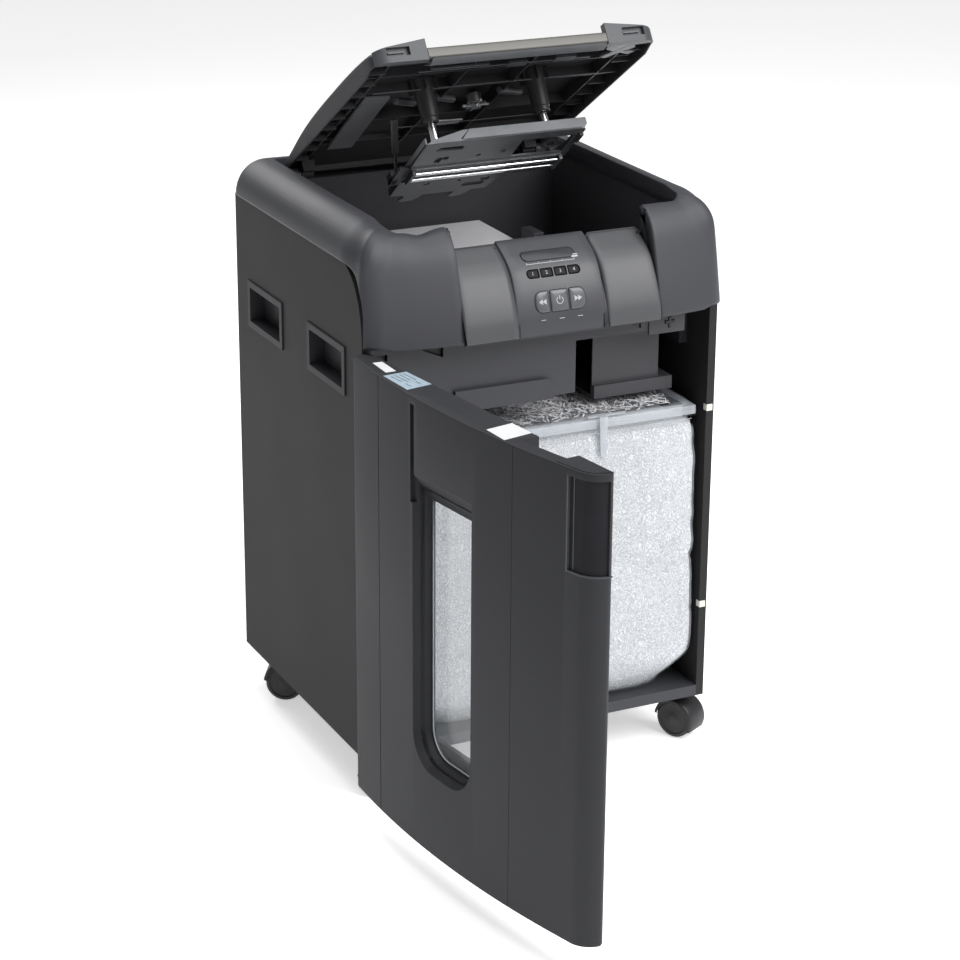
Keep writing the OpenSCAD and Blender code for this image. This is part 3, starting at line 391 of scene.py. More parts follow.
def arc(cx, cy, r, a0, a1, n=8):
    turns = [math.radians(a0 + (a1 - a0) * i / n) for i in range(n + 1)]
    return [(cx + r * math.cos(a), cy + r * math.sin(a)) for a in turns]


def rounded(x0, y0, x1, y1, r, n=6):
    """Rounded rectangle; r is one radius or four, from the lower left corner round to the upper left."""
    a, b, c, d = r if isinstance(r, (list, tuple)) else (r, r, r, r)
    return (arc(x0 + a, y0 + a, a, 180, 270, n) + arc(x1 - b, y0 + b, b, 270, 360, n)
            + arc(x1 - c, y1 - c, c, 0, 90, n) + arc(x0 + d, y1 - d, d, 90, 180, n))


def polar(r, degrees):
    return r * math.cos(math.radians(degrees)), r * math.sin(math.radians(degrees))


def spin(degrees, axis):
    return Matrix.Rotation(math.radians(degrees), 4, axis)


shift = Matrix.Translation


def smooth(t):
    t = min(1, max(0, t))
    return t * t * (3 - 2 * t)


def joint_turn(name, degrees):
    """Turns about a joint's axis, in metres."""
    j = JOINTS[name]
    p = Vector(j["pos_m"])
    return shift(p) @ Matrix.Rotation(math.radians(degrees), 4, Vector(j["axis"])) @ shift(-p)


DOOR_OPEN = joint_turn("door_hinge", -JOINTS["door_hinge"]["range_deg"][0])
LID_OPEN_DEG = -JOINTS["lid_hinge"]["range_deg"][0]
LID_AXIS = Vector(JOINTS["lid_hinge"]["pos_m"])
LID_OPEN = shift(LID_AXIS) @ spin(-LID_OPEN_DEG, "X")
PLACES = {"door": DOOR_OPEN, "lid": LID_OPEN}  # these bodies' pieces are built closed


# --- cabinet sizes, mm ---
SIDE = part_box("shroud")[1].x / MM
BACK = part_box("shroud")[1].y / MM
FRONT = -226.0
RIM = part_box("shroud")[1].z / MM
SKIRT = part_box("shroud")[0].z / MM
OPEN_L, OPEN_R, OPEN_F, OPEN_B = -182.0, 188.0, -165.0, 178.0
FASCIA_L, FASCIA_R = -114.0, 136.0
BOW_R = 1300.0


def bow(x):
    return BOW_R - math.sqrt(BOW_R ** 2 - x * x)


# --- shroud ---
SECTION_N = 40
FRONT_POINTS = catmull([(0, 562), (2, 573), (5, 586), (13, 615), (26, 652), (38, 671), (50, 680),
                        (61, 682)], 8)
FRONT_REACH = 61.0
SKIRT_SIDE = 652.0
POD_R, BACK_R, RIM_R, RIM_BACK_R = 26.0, 20.0, 14.0, 8.0
SHOULDER, BACK_SHOULDER = 42.0, 30.0
DROP_Y, DROP = -133.0, 63.0  # where the low edge starts to fall, and over what length
FRONT_LOW = 565.0
RIM_BEND_Y = -118.0


def side_section(reach, shoulder):
    pts = [(0, 562)] + [(shoulder - shoulder * math.cos(math.radians(a)),
                         RIM - shoulder + shoulder * math.sin(math.radians(a)))
                        for a in range(0, 91,
                                       6) if shoulder - shoulder * math.cos(math.radians(a)) < reach - 0.5]
    pts.append((reach, pts[-1][1] if reach < shoulder else RIM))
    wall = spread(pts[:2], 12)
    return wall[:-1] + spread(pts[1:], SECTION_N - 11)


def front_section():
    low = [p for p in FRONT_POINTS if p[1] <= 650]
    high = [p for p in FRONT_POINTS if p[1] > 650]
    return spread(low + high[:1], 12)[:-1] + spread(high, SECTION_N - 11)


def skirt_height(y):
    """Lower edge of the shroud on its sides: level, then an elliptical drop to the front skirt."""
    if y > DROP_Y:
        return SKIRT_SIDE
    t = (DROP_Y - y) / DROP
    return FRONT_LOW + (SKIRT_SIDE - FRONT_LOW) * (1 - t ** 3) ** (1 / 3) if t < 1 else FRONT_LOW


def shroud_stations():
    """Outer point, rim point, low edge, front share and shoulder radius, from one pod round to the other."""
    corner = SIDE - POD_R
    cy = FRONT + bow(corner) + POD_R

    def one_side(sign):
        """Along the pod's front, round its corner, along the side and round the rear corner."""
        rows = []
        rim_x, end_x = (OPEN_L, FASCIA_L) if sign < 0 else (OPEN_R, FASCIA_R)
        rim_corner = rim_x - sign * RIM_R
        for i in range(10):
            x = end_x + (sign * corner - end_x) * i / 10
            rows.append(((x, FRONT + bow(x)), (end_x + (rim_corner - end_x) * i / 10, OPEN_F), SKIRT, 1.0,
                         SHOULDER))
        for i in range(21):
            ox, oy = polar(POD_R, 270 + sign * (8 + 82 * i / 20))
            rx, ry = polar(RIM_R, 270 + sign * 90 * i / 20)
            rows.append(((sign * corner + ox, cy + oy), (rim_corner + rx, OPEN_F + RIM_R + ry),
                         skirt_height(cy + oy), 1 - 0.68 * smooth(i / 20), SHOULDER))
        for i in range(1, 17):
            y = cy + (DROP_Y - cy) * i / 16
            rim_y = OPEN_F + RIM_R + (RIM_BEND_Y - OPEN_F - RIM_R) * i / 16
            share = 0.32 * (1 - smooth((y - cy) / (-140 - cy)))
            rows.append(((sign * SIDE, y), (rim_x, rim_y), skirt_height(y), share, SHOULDER))
        for i in range(1, 12):
            y = DROP_Y + (BACK - BACK_R - DROP_Y) * i / 11
            rim_y = RIM_BEND_Y + (OPEN_B - RIM_BACK_R - RIM_BEND_Y) * i / 11
            rows.append(((sign * SIDE, y), (rim_x, rim_y), SKIRT_SIDE, 0.0, SHOULDER))
        for i in range(1, 9):
            ux, uy = polar(1, 90 + sign * (90 * i / 8 - 90))
            rows.append(((sign * (SIDE - BACK_R) + BACK_R * ux, BACK - BACK_R + BACK_R * uy),
                         (rim_x - sign * RIM_BACK_R + RIM_BACK_R * ux, OPEN_B - RIM_BACK_R + RIM_BACK_R * uy),
                         SKIRT_SIDE, 0.0, SHOULDER + (BACK_SHOULDER - SHOULDER) * smooth(i / 8)))
        return rows

    across = []
    for i in range(1, 10):
        x = (SIDE - BACK_R) * (i / 5 - 1)
        rim_x = OPEN_L + RIM_BACK_R + (OPEN_R - OPEN_L - 2 * RIM_BACK_R) * i / 10
        across.append(((x, BACK), (rim_x, OPEN_B), SKIRT_SIDE, 0.0, BACK_SHOULDER))
    return one_side(-1) + across + one_side(1)[::-1]


def shroud_rings():
    rings = []
    for (ox, oy), (ix, iy), low, share, shoulder in shroud_stations():
        reach = math.hypot(ix - ox, iy - oy)
        side = side_section(reach, shoulder)
        front = front_section()
        section = [((s[0] / reach) * (1 - share) + (f[0] / FRONT_REACH) * share,
                    s[1] * (1 - share) + f[1] * share) for s, f in zip(side, front)]
        above = [p for p in section if p[1] > low + 0.5]
        under = section[max(len(section) - len(above) - 1, 0)]
        t = min(1, max(0, (low - under[1]) / (above[0][1] - under[1]))) if above[0][1] > under[1] else 0
        start = (under[0] + (above[0][0] - under[0]) * t, low)
        section = spread([(h * reach, z) for h, z in [start] + above], SECTION_N)
        ring = []
        wave = 0
        if oy < -180:
            wave = -4.5 * math.exp(-((ox + 165) / 20) ** 2) + 1.2 * math.exp(-((ox + 118) / 14) ** 2)
        for reach_in, z in section:
            h = reach_in / reach
            z += wave * h * h * share
            ring.append(Vector((ox + (ix - ox) * h, oy + (iy - oy) * h, z)))
        inward = Vector((ix - ox, iy - oy, 0)).normalized()
        top = ring[-1]
        ring += [top + inward * 0.9 + Vector((0, 0, -0.5)), top + inward * 1.3 + Vector((0, 0, -1.6)),
                 top + inward * 1.4 + Vector((0, 0, -8)), top + inward * 1.4 + Vector((0, 0, -22))]
        rings.append(ring)

    def close_end(ring, step):
        """Rounds a pod's end and turns it inwards."""
        extra = []
        n = len(ring)
        for dx, inset in ((0.7, 0.3), (1.5, 1.0), (2.0, 2.2), (2.1, 4.0), (2.1, 14.0)):
            row = []
            for k in range(n):
                a, b = ring[max(k - 1, 0)], ring[min(k + 1, n - 1)]
                t = Vector((b.y - a.y, b.z - a.z)).normalized()
                row.append(ring[k] + Vector((step * dx, t.y * inset, -t.x * inset)))
            extra.append(row)
        return extra

    first, last = close_end(rings[0], 1), close_end(rings[-1], -1)
    return first[::-1] + rings + last


shroud = Form().skin(shroud_rings())
shroud.piece("shroud_cover", "cabinet", "charcoal_plastic", ["shroud"], sharp=60, thick=2.6)

pod_walls = Form()
for x0, x1 in ((FASCIA_L - 1.2, FASCIA_L + 1.0), (FASCIA_R - 1.0, FASCIA_R + 1.2)):
    mid = FRONT + bow(x0)
    k = (OPEN_F - mid) / FRONT_REACH
    outline = [(mid + p[0] * k + 1.1, p[1] - 0.6) for p in FRONT_POINTS[::3]]
    outline += [(OPEN_F + 0.3, 680.8), (OPEN_F + 0.3, 640), (-190, SKIRT + 1)]
    pod_walls.prism(outline, x0, x1, "x")
pod_walls.box((-172, 147.5, 669.5), (-158, 193, 676)).box((158, 147.5, 669.5), (172, 193, 676))
for x in (-172, 158):
    pod_walls.rod((x, 154, 676), (x + 14, 154, 676), 6.5)
pod_walls.box((-224.5, -120, 648), (-214, 190, 651.6)).box((214, -120, 648), (224.5, 190, 651.6))
pod_walls.piece("shroud_inner_walls", "cabinet", "charcoal_plastic", bevel=0.6, sharp=32)


# --- control panel ---
FASCIA = [(-157, 650), (-157.5, 656), (-162, 657.6), (-179, 648.5), (-191, 641), (-201, 630.5),
          (-209, 616), (-215, 601), (-220, 584), (-222, 572), (-223, 562)]
PANEL_L, PANEL_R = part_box("control_panel")[0].x / MM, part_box("control_panel")[1].x / MM


def fascia_curve(inset):
    """Profile of a fascia in Y and Z, set back by inset at its top and flush at its foot."""
    pts = catmull(FASCIA, 5)
    out = []
    for k, p in enumerate(pts):
        a, b = pts[max(k - 1, 0)], pts[min(k + 1, len(pts) - 1)]
        t = Vector((b.y - a.y, -(b.x - a.x))).normalized()
        d = inset * smooth((p.y - 556) / 85)
        out.append((p.x - t.x * d, p.y - t.y * d))
    return out


def fascia(x0, x1, inset, round_l, round_r):
    """Curved cover between two x positions with rounded edges."""
    steps = [(0.0, 3.2), (0.15, 1.6), (0.8, 0.5), (2.0, 0.0)]
    a, b = x0 + 2 * round_l, x1 - 2 * round_r
    xs = [(x0 + dx * round_l, d * round_l) for dx, d in steps]
    xs += [(a + (b - a) * i / 10, 0) for i in range(1, 10)]
    xs += [(x1 - dx * round_r, d * round_r) for dx, d in steps[::-1]]
    return Form().skin([[(x, y, z) for y, z in fascia_curve(inset + d)] for x, d in xs])


def tilted(x, y, z, tilt):
    """Frame of a part on the fascia: its Z points outwards, raised by tilt degrees."""
    return shift((x, y, z)) @ spin(90 - tilt, "X")


def face_y(z):
    """Depth of the panel's face at height z, from three straight stretches of its profile."""
    y, foot, slope = (-191, 641, 1.6) if z > 641 else (-209, 616, 0.72) if z > 616 else (-220, 584, 0.35)
    return y + (z - foot) * slope


def lifted(outline, z, at):
    """A flat outline at height z of a part's own frame."""
    return [at @ Vector((x, y, z)) for x, y in outline]


def pad(w, h, radii, depth, dome, at):
    """Key cap: rounded outline whose top edge is softened and slightly domed."""
    rings = []
    for inset, z in ((0, -5.0), (0, depth - 1.4), (0.25, depth - 0.7), (0.8, depth - 0.2), (1.6, depth),
                     (3.2, depth + dome * 0.6), (4.4, depth + dome)):
        r = [max(0.4, q - inset) for q in radii]
        outline = rounded(-w / 2 + inset, -h / 2 + inset, w / 2 - inset, h / 2 - inset, r, 6)
        rings.append(lifted(outline, z, at))
    return rings


KEY_Z, KEY_TILT, KEY_W, KEY_H = 627, 33, 15.0, 10.0
KEYS = [(f"key_{i + 1}", 4 + (i - 1.5) * 17.2) for i in range(4)]
BUTTON_Z, BUTTON_TILT, BUTTON_H = 598, 18, 24.0
BUTTONS = [("button_reverse", -16.5, 17), ("button_power", 5, 22), ("button_forward", 28, 20)]


def cutter_for(w, h, radii, at):
    return Form().prism(rounded(-w / 2, -h / 2, w / 2, h / 2, radii, 6), -9, 12, at=at)


def key_radii(i, n, r, small):
    """Only the outer ends of a row of keys are fully round."""
    return (r if i == 0 else small, r if i == n - 1 else small, r if i == n - 1 else small,
            r if i == 0 else small)


panel = fascia(PANEL_L, PANEL_R, 0, 1, 1)
cuts = []
for i, (name, x) in enumerate(KEYS):
    at = tilted(x, face_y(KEY_Z), KEY_Z, KEY_TILT)
    cuts.append(cutter_for(KEY_W + 1, KEY_H + 1, key_radii(i, 4, 5, 1.6), at))
for i, (name, x, w) in enumerate(BUTTONS):
    at = tilted(x, face_y(BUTTON_Z), BUTTON_Z, BUTTON_TILT)
    cuts.append(cutter_for(w + 1, BUTTON_H + 1, key_radii(i, 3, 9, 2.0), at))
LENS_AT = shift((4, -186.5, 643.6)) @ spin(28, "X")
cuts.append(cutter_for(67, 15.6, 6.5, LENS_AT))
panel.piece("control_panel_cover", "cabinet", "panel_grey", ["control_panel"], thick=2.4, cuts=cuts, sharp=40)

# Near-black boxes behind the key, button and lens openings: painted shade in the gaps round them.
gap_shade = Form().box((-32, -26, -12.5), (54, 40, -10), tilted(0, face_y(BUTTON_Z), BUTTON_Z, BUTTON_TILT))
gap_shade.box((-34, -10, -8), (34, 10, -4.5), LENS_AT)
gap_shade.piece("panel_gap_shade", "cabinet", "shadow_gap", bevel=0.3, sharp=32)

left_fascia = fascia(FASCIA_L + 1.5, PANEL_L - 0.1, 5.0, 0.6, 0)
left_fascia.piece("left_fascia_cover", "cabinet", "fascia_grey", ["side_fascias"], thick=2.4, sharp=50)
right_fascia = fascia(PANEL_R + 4.5, FASCIA_R - 5.5, 5.0, 1, 1)
right_fascia.piece("right_fascia_cover", "cabinet", "fascia_grey", thick=2.4, sharp=50)
gutter = fascia(PANEL_R - 3, PANEL_R + 8, 9.0, 0, 0)
for x0, x1, inset in ((FASCIA_R - 9, FASCIA_R - 2, 13.0), (PANEL_L - 4, PANEL_L + 3, 10.0)):
    gutter.skin([[(x, y, z) for y, z in fascia_curve(inset)] for x in (x0, x1)])
gutter.piece("fascia_gutters", "cabinet", "black_plastic", thick=1.5, sharp=50)


def text_form(form, word, size, at, lift=0.35):
    """Adds a numeral as thin raised print."""
    curve = bpy.data.curves.new("numeral", "FONT")
    curve.body = word
    curve.size = size
    curve.align_x, curve.align_y = "CENTER", "CENTER"
    curve.extrude = lift / 2
    obj = bpy.data.objects.new("numeral", curve)
    SCENE.collection.objects.link(obj)
    bpy.context.view_layer.update()
    mesh = bpy.data.meshes.new_from_object(obj.evaluated_get(bpy.context.evaluated_depsgraph_get()))
    form.add([v.co for v in mesh.vertices], [list(p.vertices) for p in mesh.polygons], at)
    bpy.data.objects.remove(obj)


for i, (name, x) in enumerate(KEYS):
    at = tilted(x, face_y(KEY_Z), KEY_Z, KEY_TILT)
    cap = Form().loft(pad(KEY_W, KEY_H, key_radii(i, 4, 4.6, 1.2), 1.6, 0.3, at))
    cap.piece(name + "_cap", name, "key_black", [name], sharp=50)
    digit = Form()
    text_form(digit, str(i + 1), 5.6, at @ shift((0, 0, 2.0)))
    digit.piece(name + "_numeral", name, "print_grey", sharp=30)

for i, (name, x, w) in enumerate(BUTTONS):
    at = tilted(x, face_y(BUTTON_Z), BUTTON_Z, BUTTON_TILT)
    cap = Form().loft(pad(w, BUTTON_H, key_radii(i, 3, 8.5, 1.6), 2.2, 0.5, at))
    cap.piece(name + "_cap", name, "button_grey", [name], sharp=50)
    sign = Form()
    top = at @ shift((0, 0, 2.75))
    if name == "button_power":
        ring = arc(0, 0, 4.4, 125, 415, 24) + arc(0, 0, 3.5, 415, 125, 24)
        sign.prism(ring, -0.2, 0.25, at=top).box((-0.5, 1.0, -0.2), (0.5, 5.4, 0.25), top)
    else:
        d = -1 if name == "button_reverse" else 1
        for k in (0, 1):
            a, b = (-4.6 + 4.6 * k) * d, (0.2 + 4.6 * k) * d
            sign.prism([(a, -3.2), (b, 0), (a, 3.2)], -0.2, 0.25, at=top)
    sign.piece(name + "_sign", name, "print_grey", sharp=30)

scale_line = Form()
line_at = tilted(4, face_y(KEY_Z + 9), KEY_Z + 9, KEY_TILT)
scale_line.box((-30, 0.4, 1.0), (30, 1.0, 1.35), line_at)
for i in range(5):
    scale_line.box((-30 + 15 * i - 0.3, 0.4, 1.0), (-30 + 15 * i + 0.3, 2.6, 1.35), line_at)
scale_line.box((27, 3.2, 1.0), (35, 5.2, 1.35), line_at).box((29, 6.0, 1.0), (35, 7.0, 1.35), line_at)
scale_line.box((-30.6, 0.4, 1.0), (-30.0, -5.0, 1.35), line_at)
dash_at = tilted(5, face_y(BUTTON_Z - 19), BUTTON_Z - 19, BUTTON_TILT)
for x, w in ((-22, 8), (1, 9), (24, 9)):
    scale_line.box((x - w * 0.36, -0.5, 0.1), (x + w * 0.36, 0.3, 0.4), dash_at)
scale_line.piece("panel_print", "cabinet", "print_grey", sharp=30)

lens = Form().loft([lifted(rounded(-33 + i, -7.4 + i, 33 - i, 7.4 - i, 6.2, 6), z, LENS_AT)
                    for i, z in ((0, -2), (0, 0.4), (0.3, 0.9), (1.0, 1.2))])
lens.piece("display_lens_cover", "cabinet", "lens_dark", ["display_lens"], sharp=50)


# --- door ---
DOOR_X = 228.5
DOOR_BACK = -194.0
DOOR_FRONT = DOOR_BACK - 43.0
DOOR_Z0, DOOR_Z1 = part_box("door_shell")[0].z / MM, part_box("door_shell")[1].z / MM
END_R, HINGE_R = 27.0, 12.0
HINGE = Vector(JOINTS["door_hinge"]["pos_m"]) / MM


def front_at(x):
    return DOOR_FRONT + bow(x)


end_y = front_at(DOOR_X - END_R) + END_R
front_line = [(x, front_at(x)) for x in [-186 + 12.4 * i for i in range(31)]]


def door_plan(t):
    """Plan outline of the door inset by t."""
    pts = arc(-DOOR_X + HINGE_R, front_at(-DOOR_X + HINGE_R) + HINGE_R, HINGE_R - t, 196, 260, 9)
    pts += [(x, y + t) for x, y in front_line]
    pts += arc(DOOR_X - END_R, end_y, END_R - t, 280, 350, 10)
    pts += [(DOOR_X - 0.9 - t, DOOR_BACK - 2.6 - t), (DOOR_X - 2.8 - t, DOOR_BACK - t)]
    pts += [(x, DOOR_BACK - t) for x in (120, 0, -120, -220)]
    pts += [(-225.2 + t, DOOR_BACK - t), (-227.2 + t, -196.0 - t * 0.6), (-228.2 + t, -199.0 - t * 0.3)]
    return pts


door = Form().loft([[(x, y, z) for x, y in door_plan(t)] for t, z in
           ((1.6, DOOR_Z0), (0.5, DOOR_Z0 + 0.5), (0, DOOR_Z0 + 1.8), (0, DOOR_Z1 - 1.8),
            (0.5, DOOR_Z1 - 0.5), (1.6, DOOR_Z1))])

WIN_L, WIN_R, WIN_Z0 = -76.0, 41.0, 136.0
PANE_Y = -212.0


def window_outline(t, top):
    r = 40 - t
    left, right_end, low = WIN_L + t, WIN_R - t, WIN_Z0 + t + r
    return ([(left, top)] + arc(left + r, low, r, 180, 270, 10)
            + arc(right_end - r, low, r, 270, 360, 10) + [(right_end, top)])


def window_ring(t, top, y):
    return [(x, y, z) for x, z in window_outline(t, top)]


def behind_front(x0, x1, depth, z0, z1):
    """Everything behind the bowed front between two x positions."""
    xs = [x0 + (x1 - x0) * i / 10 for i in range(11)]
    front = [(x, front_at(x) + depth) for x in xs]
    return Form().prism([(x1, DOOR_BACK + 5), (x0, DOOR_BACK + 5)] + front, z0, z1)


hollow = behind_front(-205, 92, 14, DOOR_Z0 + 3, DOOR_Z1 - 3)
top_step = behind_front(99, 168, 17, DOOR_Z0 + 3, DOOR_Z1 + 5)
window = Form().loft([window_ring(*cut) for cut in ((-1.6, 486, -244), (6, 440, PANE_Y), (6, 440, -185))])
groove_thin = Form().box((-155.6, front_at(155) - 9, DOOR_Z0 - 2), (-154.4, front_at(155) + 1.4, DOOR_Z1 + 2))
groove_wide = Form().box((-80, -245, 440), (-72, front_at(75) + 5.5, DOOR_Z1 - 9))
crease = Form().box((107.7, -245, DOOR_Z0 - 2), (108.3, front_at(108) + 0.7, DOOR_Z1 + 2))
GRIP_X, GRIP_Z0, GRIP_Z1 = 190.0, 451.0, 551.0


def grip_path(t):
    """Plan curve round the free end of the door, t inside its face."""
    return ([(x, front_at(x) + t) for x in (GRIP_X, 194, 198)]
            + arc(DOOR_X - END_R, end_y, END_R - t, 282, 360, 10)
            + [(DOOR_X - t, -198.5)])


scoop = Form().prism(grip_path(3.6) + [(DOOR_X + 8, -198.5), (DOOR_X + 8, -250), (GRIP_X, -250)],
                     GRIP_Z0, GRIP_Z1)
hinge_cuts = []
for z in (78, 520):
    hinge_cuts.append(Form().box((-233, HINGE.y - 9, z - 1), (-212, HINGE.y + 21, z + 15)))

door.piece("door_shell_cover", "door", "door_charcoal", ["door_shell"],
           cuts=[hollow, top_step, window, groove_thin, groove_wide, crease,
                 scoop] + hinge_cuts, sharp=30, bevel=0.5)


def reveal(y, grow):
    """Outline of the window's sloping edge at depth y, grown outwards."""
    f = min(1, (y + 244) / 32)
    return [(x, y, z) for x, z in window_outline(-1.6 + 7.6 * f - grow, 486 - 46 * f + grow)]


collar = Form()
rings = [reveal(-226, 0), reveal(-219, 0), reveal(-212, 0), reveal(-209, 0), reveal(-209, 3.2),
         reveal(-219, 3.2), reveal(-226, 3.2)]
collar.loft(rings + [rings[0]], caps=False)
collar.piece("door_window_collar", "door", "door_charcoal")

# A pale blue-grey strip round the window pane: a painted highlight for the glint on the pane's edge.
rim_glint = Form()
path_out = window_outline(6.2, 439)
path_in = window_outline(8.4, 439)
rim_glint.loft([[(x, PANE_Y - d, z) for x, z in path] for path, d in
                ((path_out, 0.7), (path_in, 1.6), (path_in, 0.2), (path_out, 0.2))],
               close=False, caps=False)
rim_glint.piece("door_pane_edge_highlight", "door", "frame_blue_grey", slot="smoked_window", thick=0.3)

pane = Form().loft([window_ring(*cut) for cut in ((4, 446, PANE_Y), (4, 446, PANE_Y + 2.2))])
pane.piece("door_window_pane", "door", "smoked_window", ["door_window"], bevel=0.4)

# The lining of the handle scoop is painted much darker than the door: painted shade in the recess.
grip = Form().prism(grip_path(2.6) + grip_path(3.7)[::-1], GRIP_Z0 + 0.3, GRIP_Z1 - 0.3)
grip.piece("door_handle_cup_shade_liner", "door", "grip_recess_shade", ["door_handle_cup"])
grip_rim = Form().prism(grip_path(-0.25)[:-1] + grip_path(2.9)[:-1][::-1], GRIP_Z0 - 0.9, GRIP_Z0 + 0.5)
grip_rim.prism([(GRIP_X - 1, front_at(190) - 0.3), (GRIP_X + 0.6, front_at(190) - 0.2),
                (GRIP_X + 0.8, front_at(190) + 3), (GRIP_X - 1, front_at(190) + 3)],
               GRIP_Z0 - 0.9, GRIP_Z1)
grip_rim.prism([(GRIP_X + 6, front_at(196) + 2.0), (GRIP_X + 7.2, front_at(197) + 2.0),
                (GRIP_X + 7.2, front_at(197) + 3), (GRIP_X + 6, front_at(196) + 3)],
               GRIP_Z0 + 2, GRIP_Z1 - 1)
grip_rim.piece("door_grip_rim", "door", "cap_grey", bevel=0.3)

end_cap = Form()
cap_plan = [(170, DOOR_BACK - 1.2), (170, front_at(170) + 3)]
cap_plan += [(x, front_at(x) + 2.4) for x in (178, 186, 194)]
cap_plan += arc(DOOR_X - END_R, end_y, END_R - 2.4, 284, 360, 8)
cap_plan += [(DOOR_X - 2.4, DOOR_BACK - 2.2), (DOOR_X - 4, DOOR_BACK - 1.2)]
end_cap.prism(cap_plan, DOOR_Z1 - 0.6, DOOR_Z1 + 0.7)
end_cap.piece("door_end_cap", "door", "door_charcoal", bevel=0.5)

labels = Form().prism([(-194, -210.5), (-158, -216), (-156.5, -204), (-192, -199.5)], DOOR_Z1, DOOR_Z1 + 0.25)
labels.prism([(55, -228.5), (91, -231), (88, -195.5), (52.5, -195.5)], DOOR_Z1, DOOR_Z1 + 0.25)
labels.piece("door_labels_white", "door", "label_white")
blue = Form().prism([(-149.5, -224.5), (-96, -228), (-98, -196), (-148.5, -196)], DOOR_Z1, DOOR_Z1 + 0.25)
blue.piece("door_label_blue", "door", "label_blue")
lines = Form()
for k in range(4):
    lines.box((-143, -219 + 5.4 * k, DOOR_Z1 + 0.2), (-122 + 4 * (k % 2), -218.2 + 5.4 * k, DOOR_Z1 + 0.4))
lines.box((-114, -219, DOOR_Z1 + 0.2), (-103, -218.2, DOOR_Z1 + 0.4))
lines.box((-114, -206, DOOR_Z1 + 0.2), (-104, -205.2, DOOR_Z1 + 0.4))
lines.piece("door_label_marks", "door", "panel_grey")


# --- lid ---
LID_X, LID_FRONT, LID_REAR = 176.0, -333.0, 9.0
LID_N0, LID_N1 = 8.0, 26.0
CROWN = [(-12, 12.4), (0, 13.5), (19, 15.7), (45, 20.5), (70, 25.3), (101, 28.7), (130, 30.3), (165, 31),
         (230, 30.9), (264, 29.8), (289, 28.3), (313, 25.8), (336, 23)]


def crown(y):
    """Height of the lid's top over its lid plane: low at the hinge, full in the middle."""
    s = -y
    for (a, p), (b, q) in zip(CROWN, CROWN[1:]):
        if s <= b:
            return p + (q - p) * (s - a) / (b - a)
    return CROWN[-1][1]


def lid_height(y, n):
    """Lid height n of a flat 8 to 26 mm lid, fitted to the crown and to the lower skirt behind the front."""
    if n >= LID_N0:
        n = LID_N0 + (n - LID_N0) * (crown(y) - LID_N0) / (LID_N1 - LID_N0)
    return n - 4.4 * smooth((16 - n) / 8) * smooth((y + 312) / 16)


def lid_plan(t):
    """Right half from the front centre to the rear, then the left half back again."""
    radii = (20 - t * 0.5, 20 - t * 0.5, 6, 6)
    outline = rounded(-LID_X + t, LID_FRONT + t, LID_X - t, LID_REAR - t, radii, 8)
    half = [(x, y) for x, y in outline if x > 0]
    out = []
    for p, q in zip(half, half[1:]):
        out.append(p)
        if q[1] - p[1] > 30:
            out += [(p[0] + (q[0] - p[0]) * i / 20, p[1] + (q[1] - p[1]) * i / 20) for i in range(1, 20)]
    out.append(half[-1])
    out = [(x, max(y, LID_FRONT + 10 + t * 0.2)) for x, y in out]
    return out + [(-x, y) for x, y in out[::-1]]


lid = Form()
lid_rings = [(14, 22.6), (3.0, 22.5), (3.0, 9.0), (2.4, LID_N0), (0.7, LID_N0), (0.0, 8.8), (0.0, 18.6),
             (0.7, 21.6), (2.2, 24.0), (4.6, 25.5), (8.0, LID_N1), (20, LID_N1)]
lid.loft([[(x, y, lid_height(y, n)) for x, y in lid_plan(t)] for t, n in lid_rings], caps=False)
ring_n = len(lid_plan(0))
for base in (0, ring_n * (len(lid_rings) - 1)):
    lid.faces += [[base + k, base + k + 1, base + ring_n - 2 - k, base + ring_n - 1 - k]
                  for k in range(ring_n // 2 - 1)]


def long_rib(x, w, low):
    ys = [-320 + 325 * i / 26 for i in range(27)]
    top = [(y, max(low + 0.4, lid_height(y, 22.6))) for y in ys[::-1]]
    lid.prism([(y, low) for y in ys] + top, x, x + w, "x")


for y in (-60, -130, -215, -270):
    lid.box((-173.2, y, 14), (173.2, y + 2.4, lid_height(y, 22.7)))
for x in (-150, -40, 37, 147):
    long_rib(x, 2.4, 12.4)
for k in range(9):
    y = -296 + 34 * k
    lid.box((-173.2, y, 8.2), (-150, y + 1.8, lid_height(y, 22.7)))
    lid.box((149, y, 10), (173.2, y + 1.8, lid_height(y, 22.7)))
for x in (-156, 140):
    lid.box((x, -14, -2), (x + 16, 0, 11.4))
    lid.rod((x, 0, 0), (x + 16, 0, 0), 6.5, 28)
# The faces inside the lid shell are painted black_plastic: painted shade on the lid's underside.
lid.piece("lid_cover", "lid", "door_charcoal", ["lid_shell"], bevel=0.35,
          paint=("black_plastic",
                 lambda c, n: abs(c.x) < 173.1 and c.y < 6.1 and c.z < lid_height(c.y, 22.9)))

sleeves = Form()
ROD_X, ROD_S = 71.0, 213.0
for x in (-ROD_X, ROD_X):
    at = shift((x, -ROD_S, 0))
    sleeves.lathe([(5.3, -26), (8.6, -26), (9.2, -25.2), (9.2, -20), (10.2, -19.2), (10.8, -8), (11.6, 6),
                   (12.6, 17), (14.0, 26.2), (5.3, 26.2)], at, 36)
    for a in range(0, 360, 60):
        turn = at @ spin(a + 20, "Z")
        sleeves.box((8.5, -0.8, 12), (18, 0.8, 26.2), turn)
sleeves.piece("press_sleeves", "lid", "black_plastic", sharp=40, bevel=0.25)

strips = Form().prism([(-146, -217), (-114, -213), (-104, -50), (-136, -50)], 9.5, 12.5)
for x0, s0, w in ((-97, 186, 30), (-45, 186, 28), (34, 190, 34)):
    strips.rod((x0, -s0, 15), (x0 + w, -s0 + 14, 15), 4.6, 20, 1.2)
strips.piece("lid_fittings_grey", "lid", "rib_grey", sharp=40, bevel=0.4)

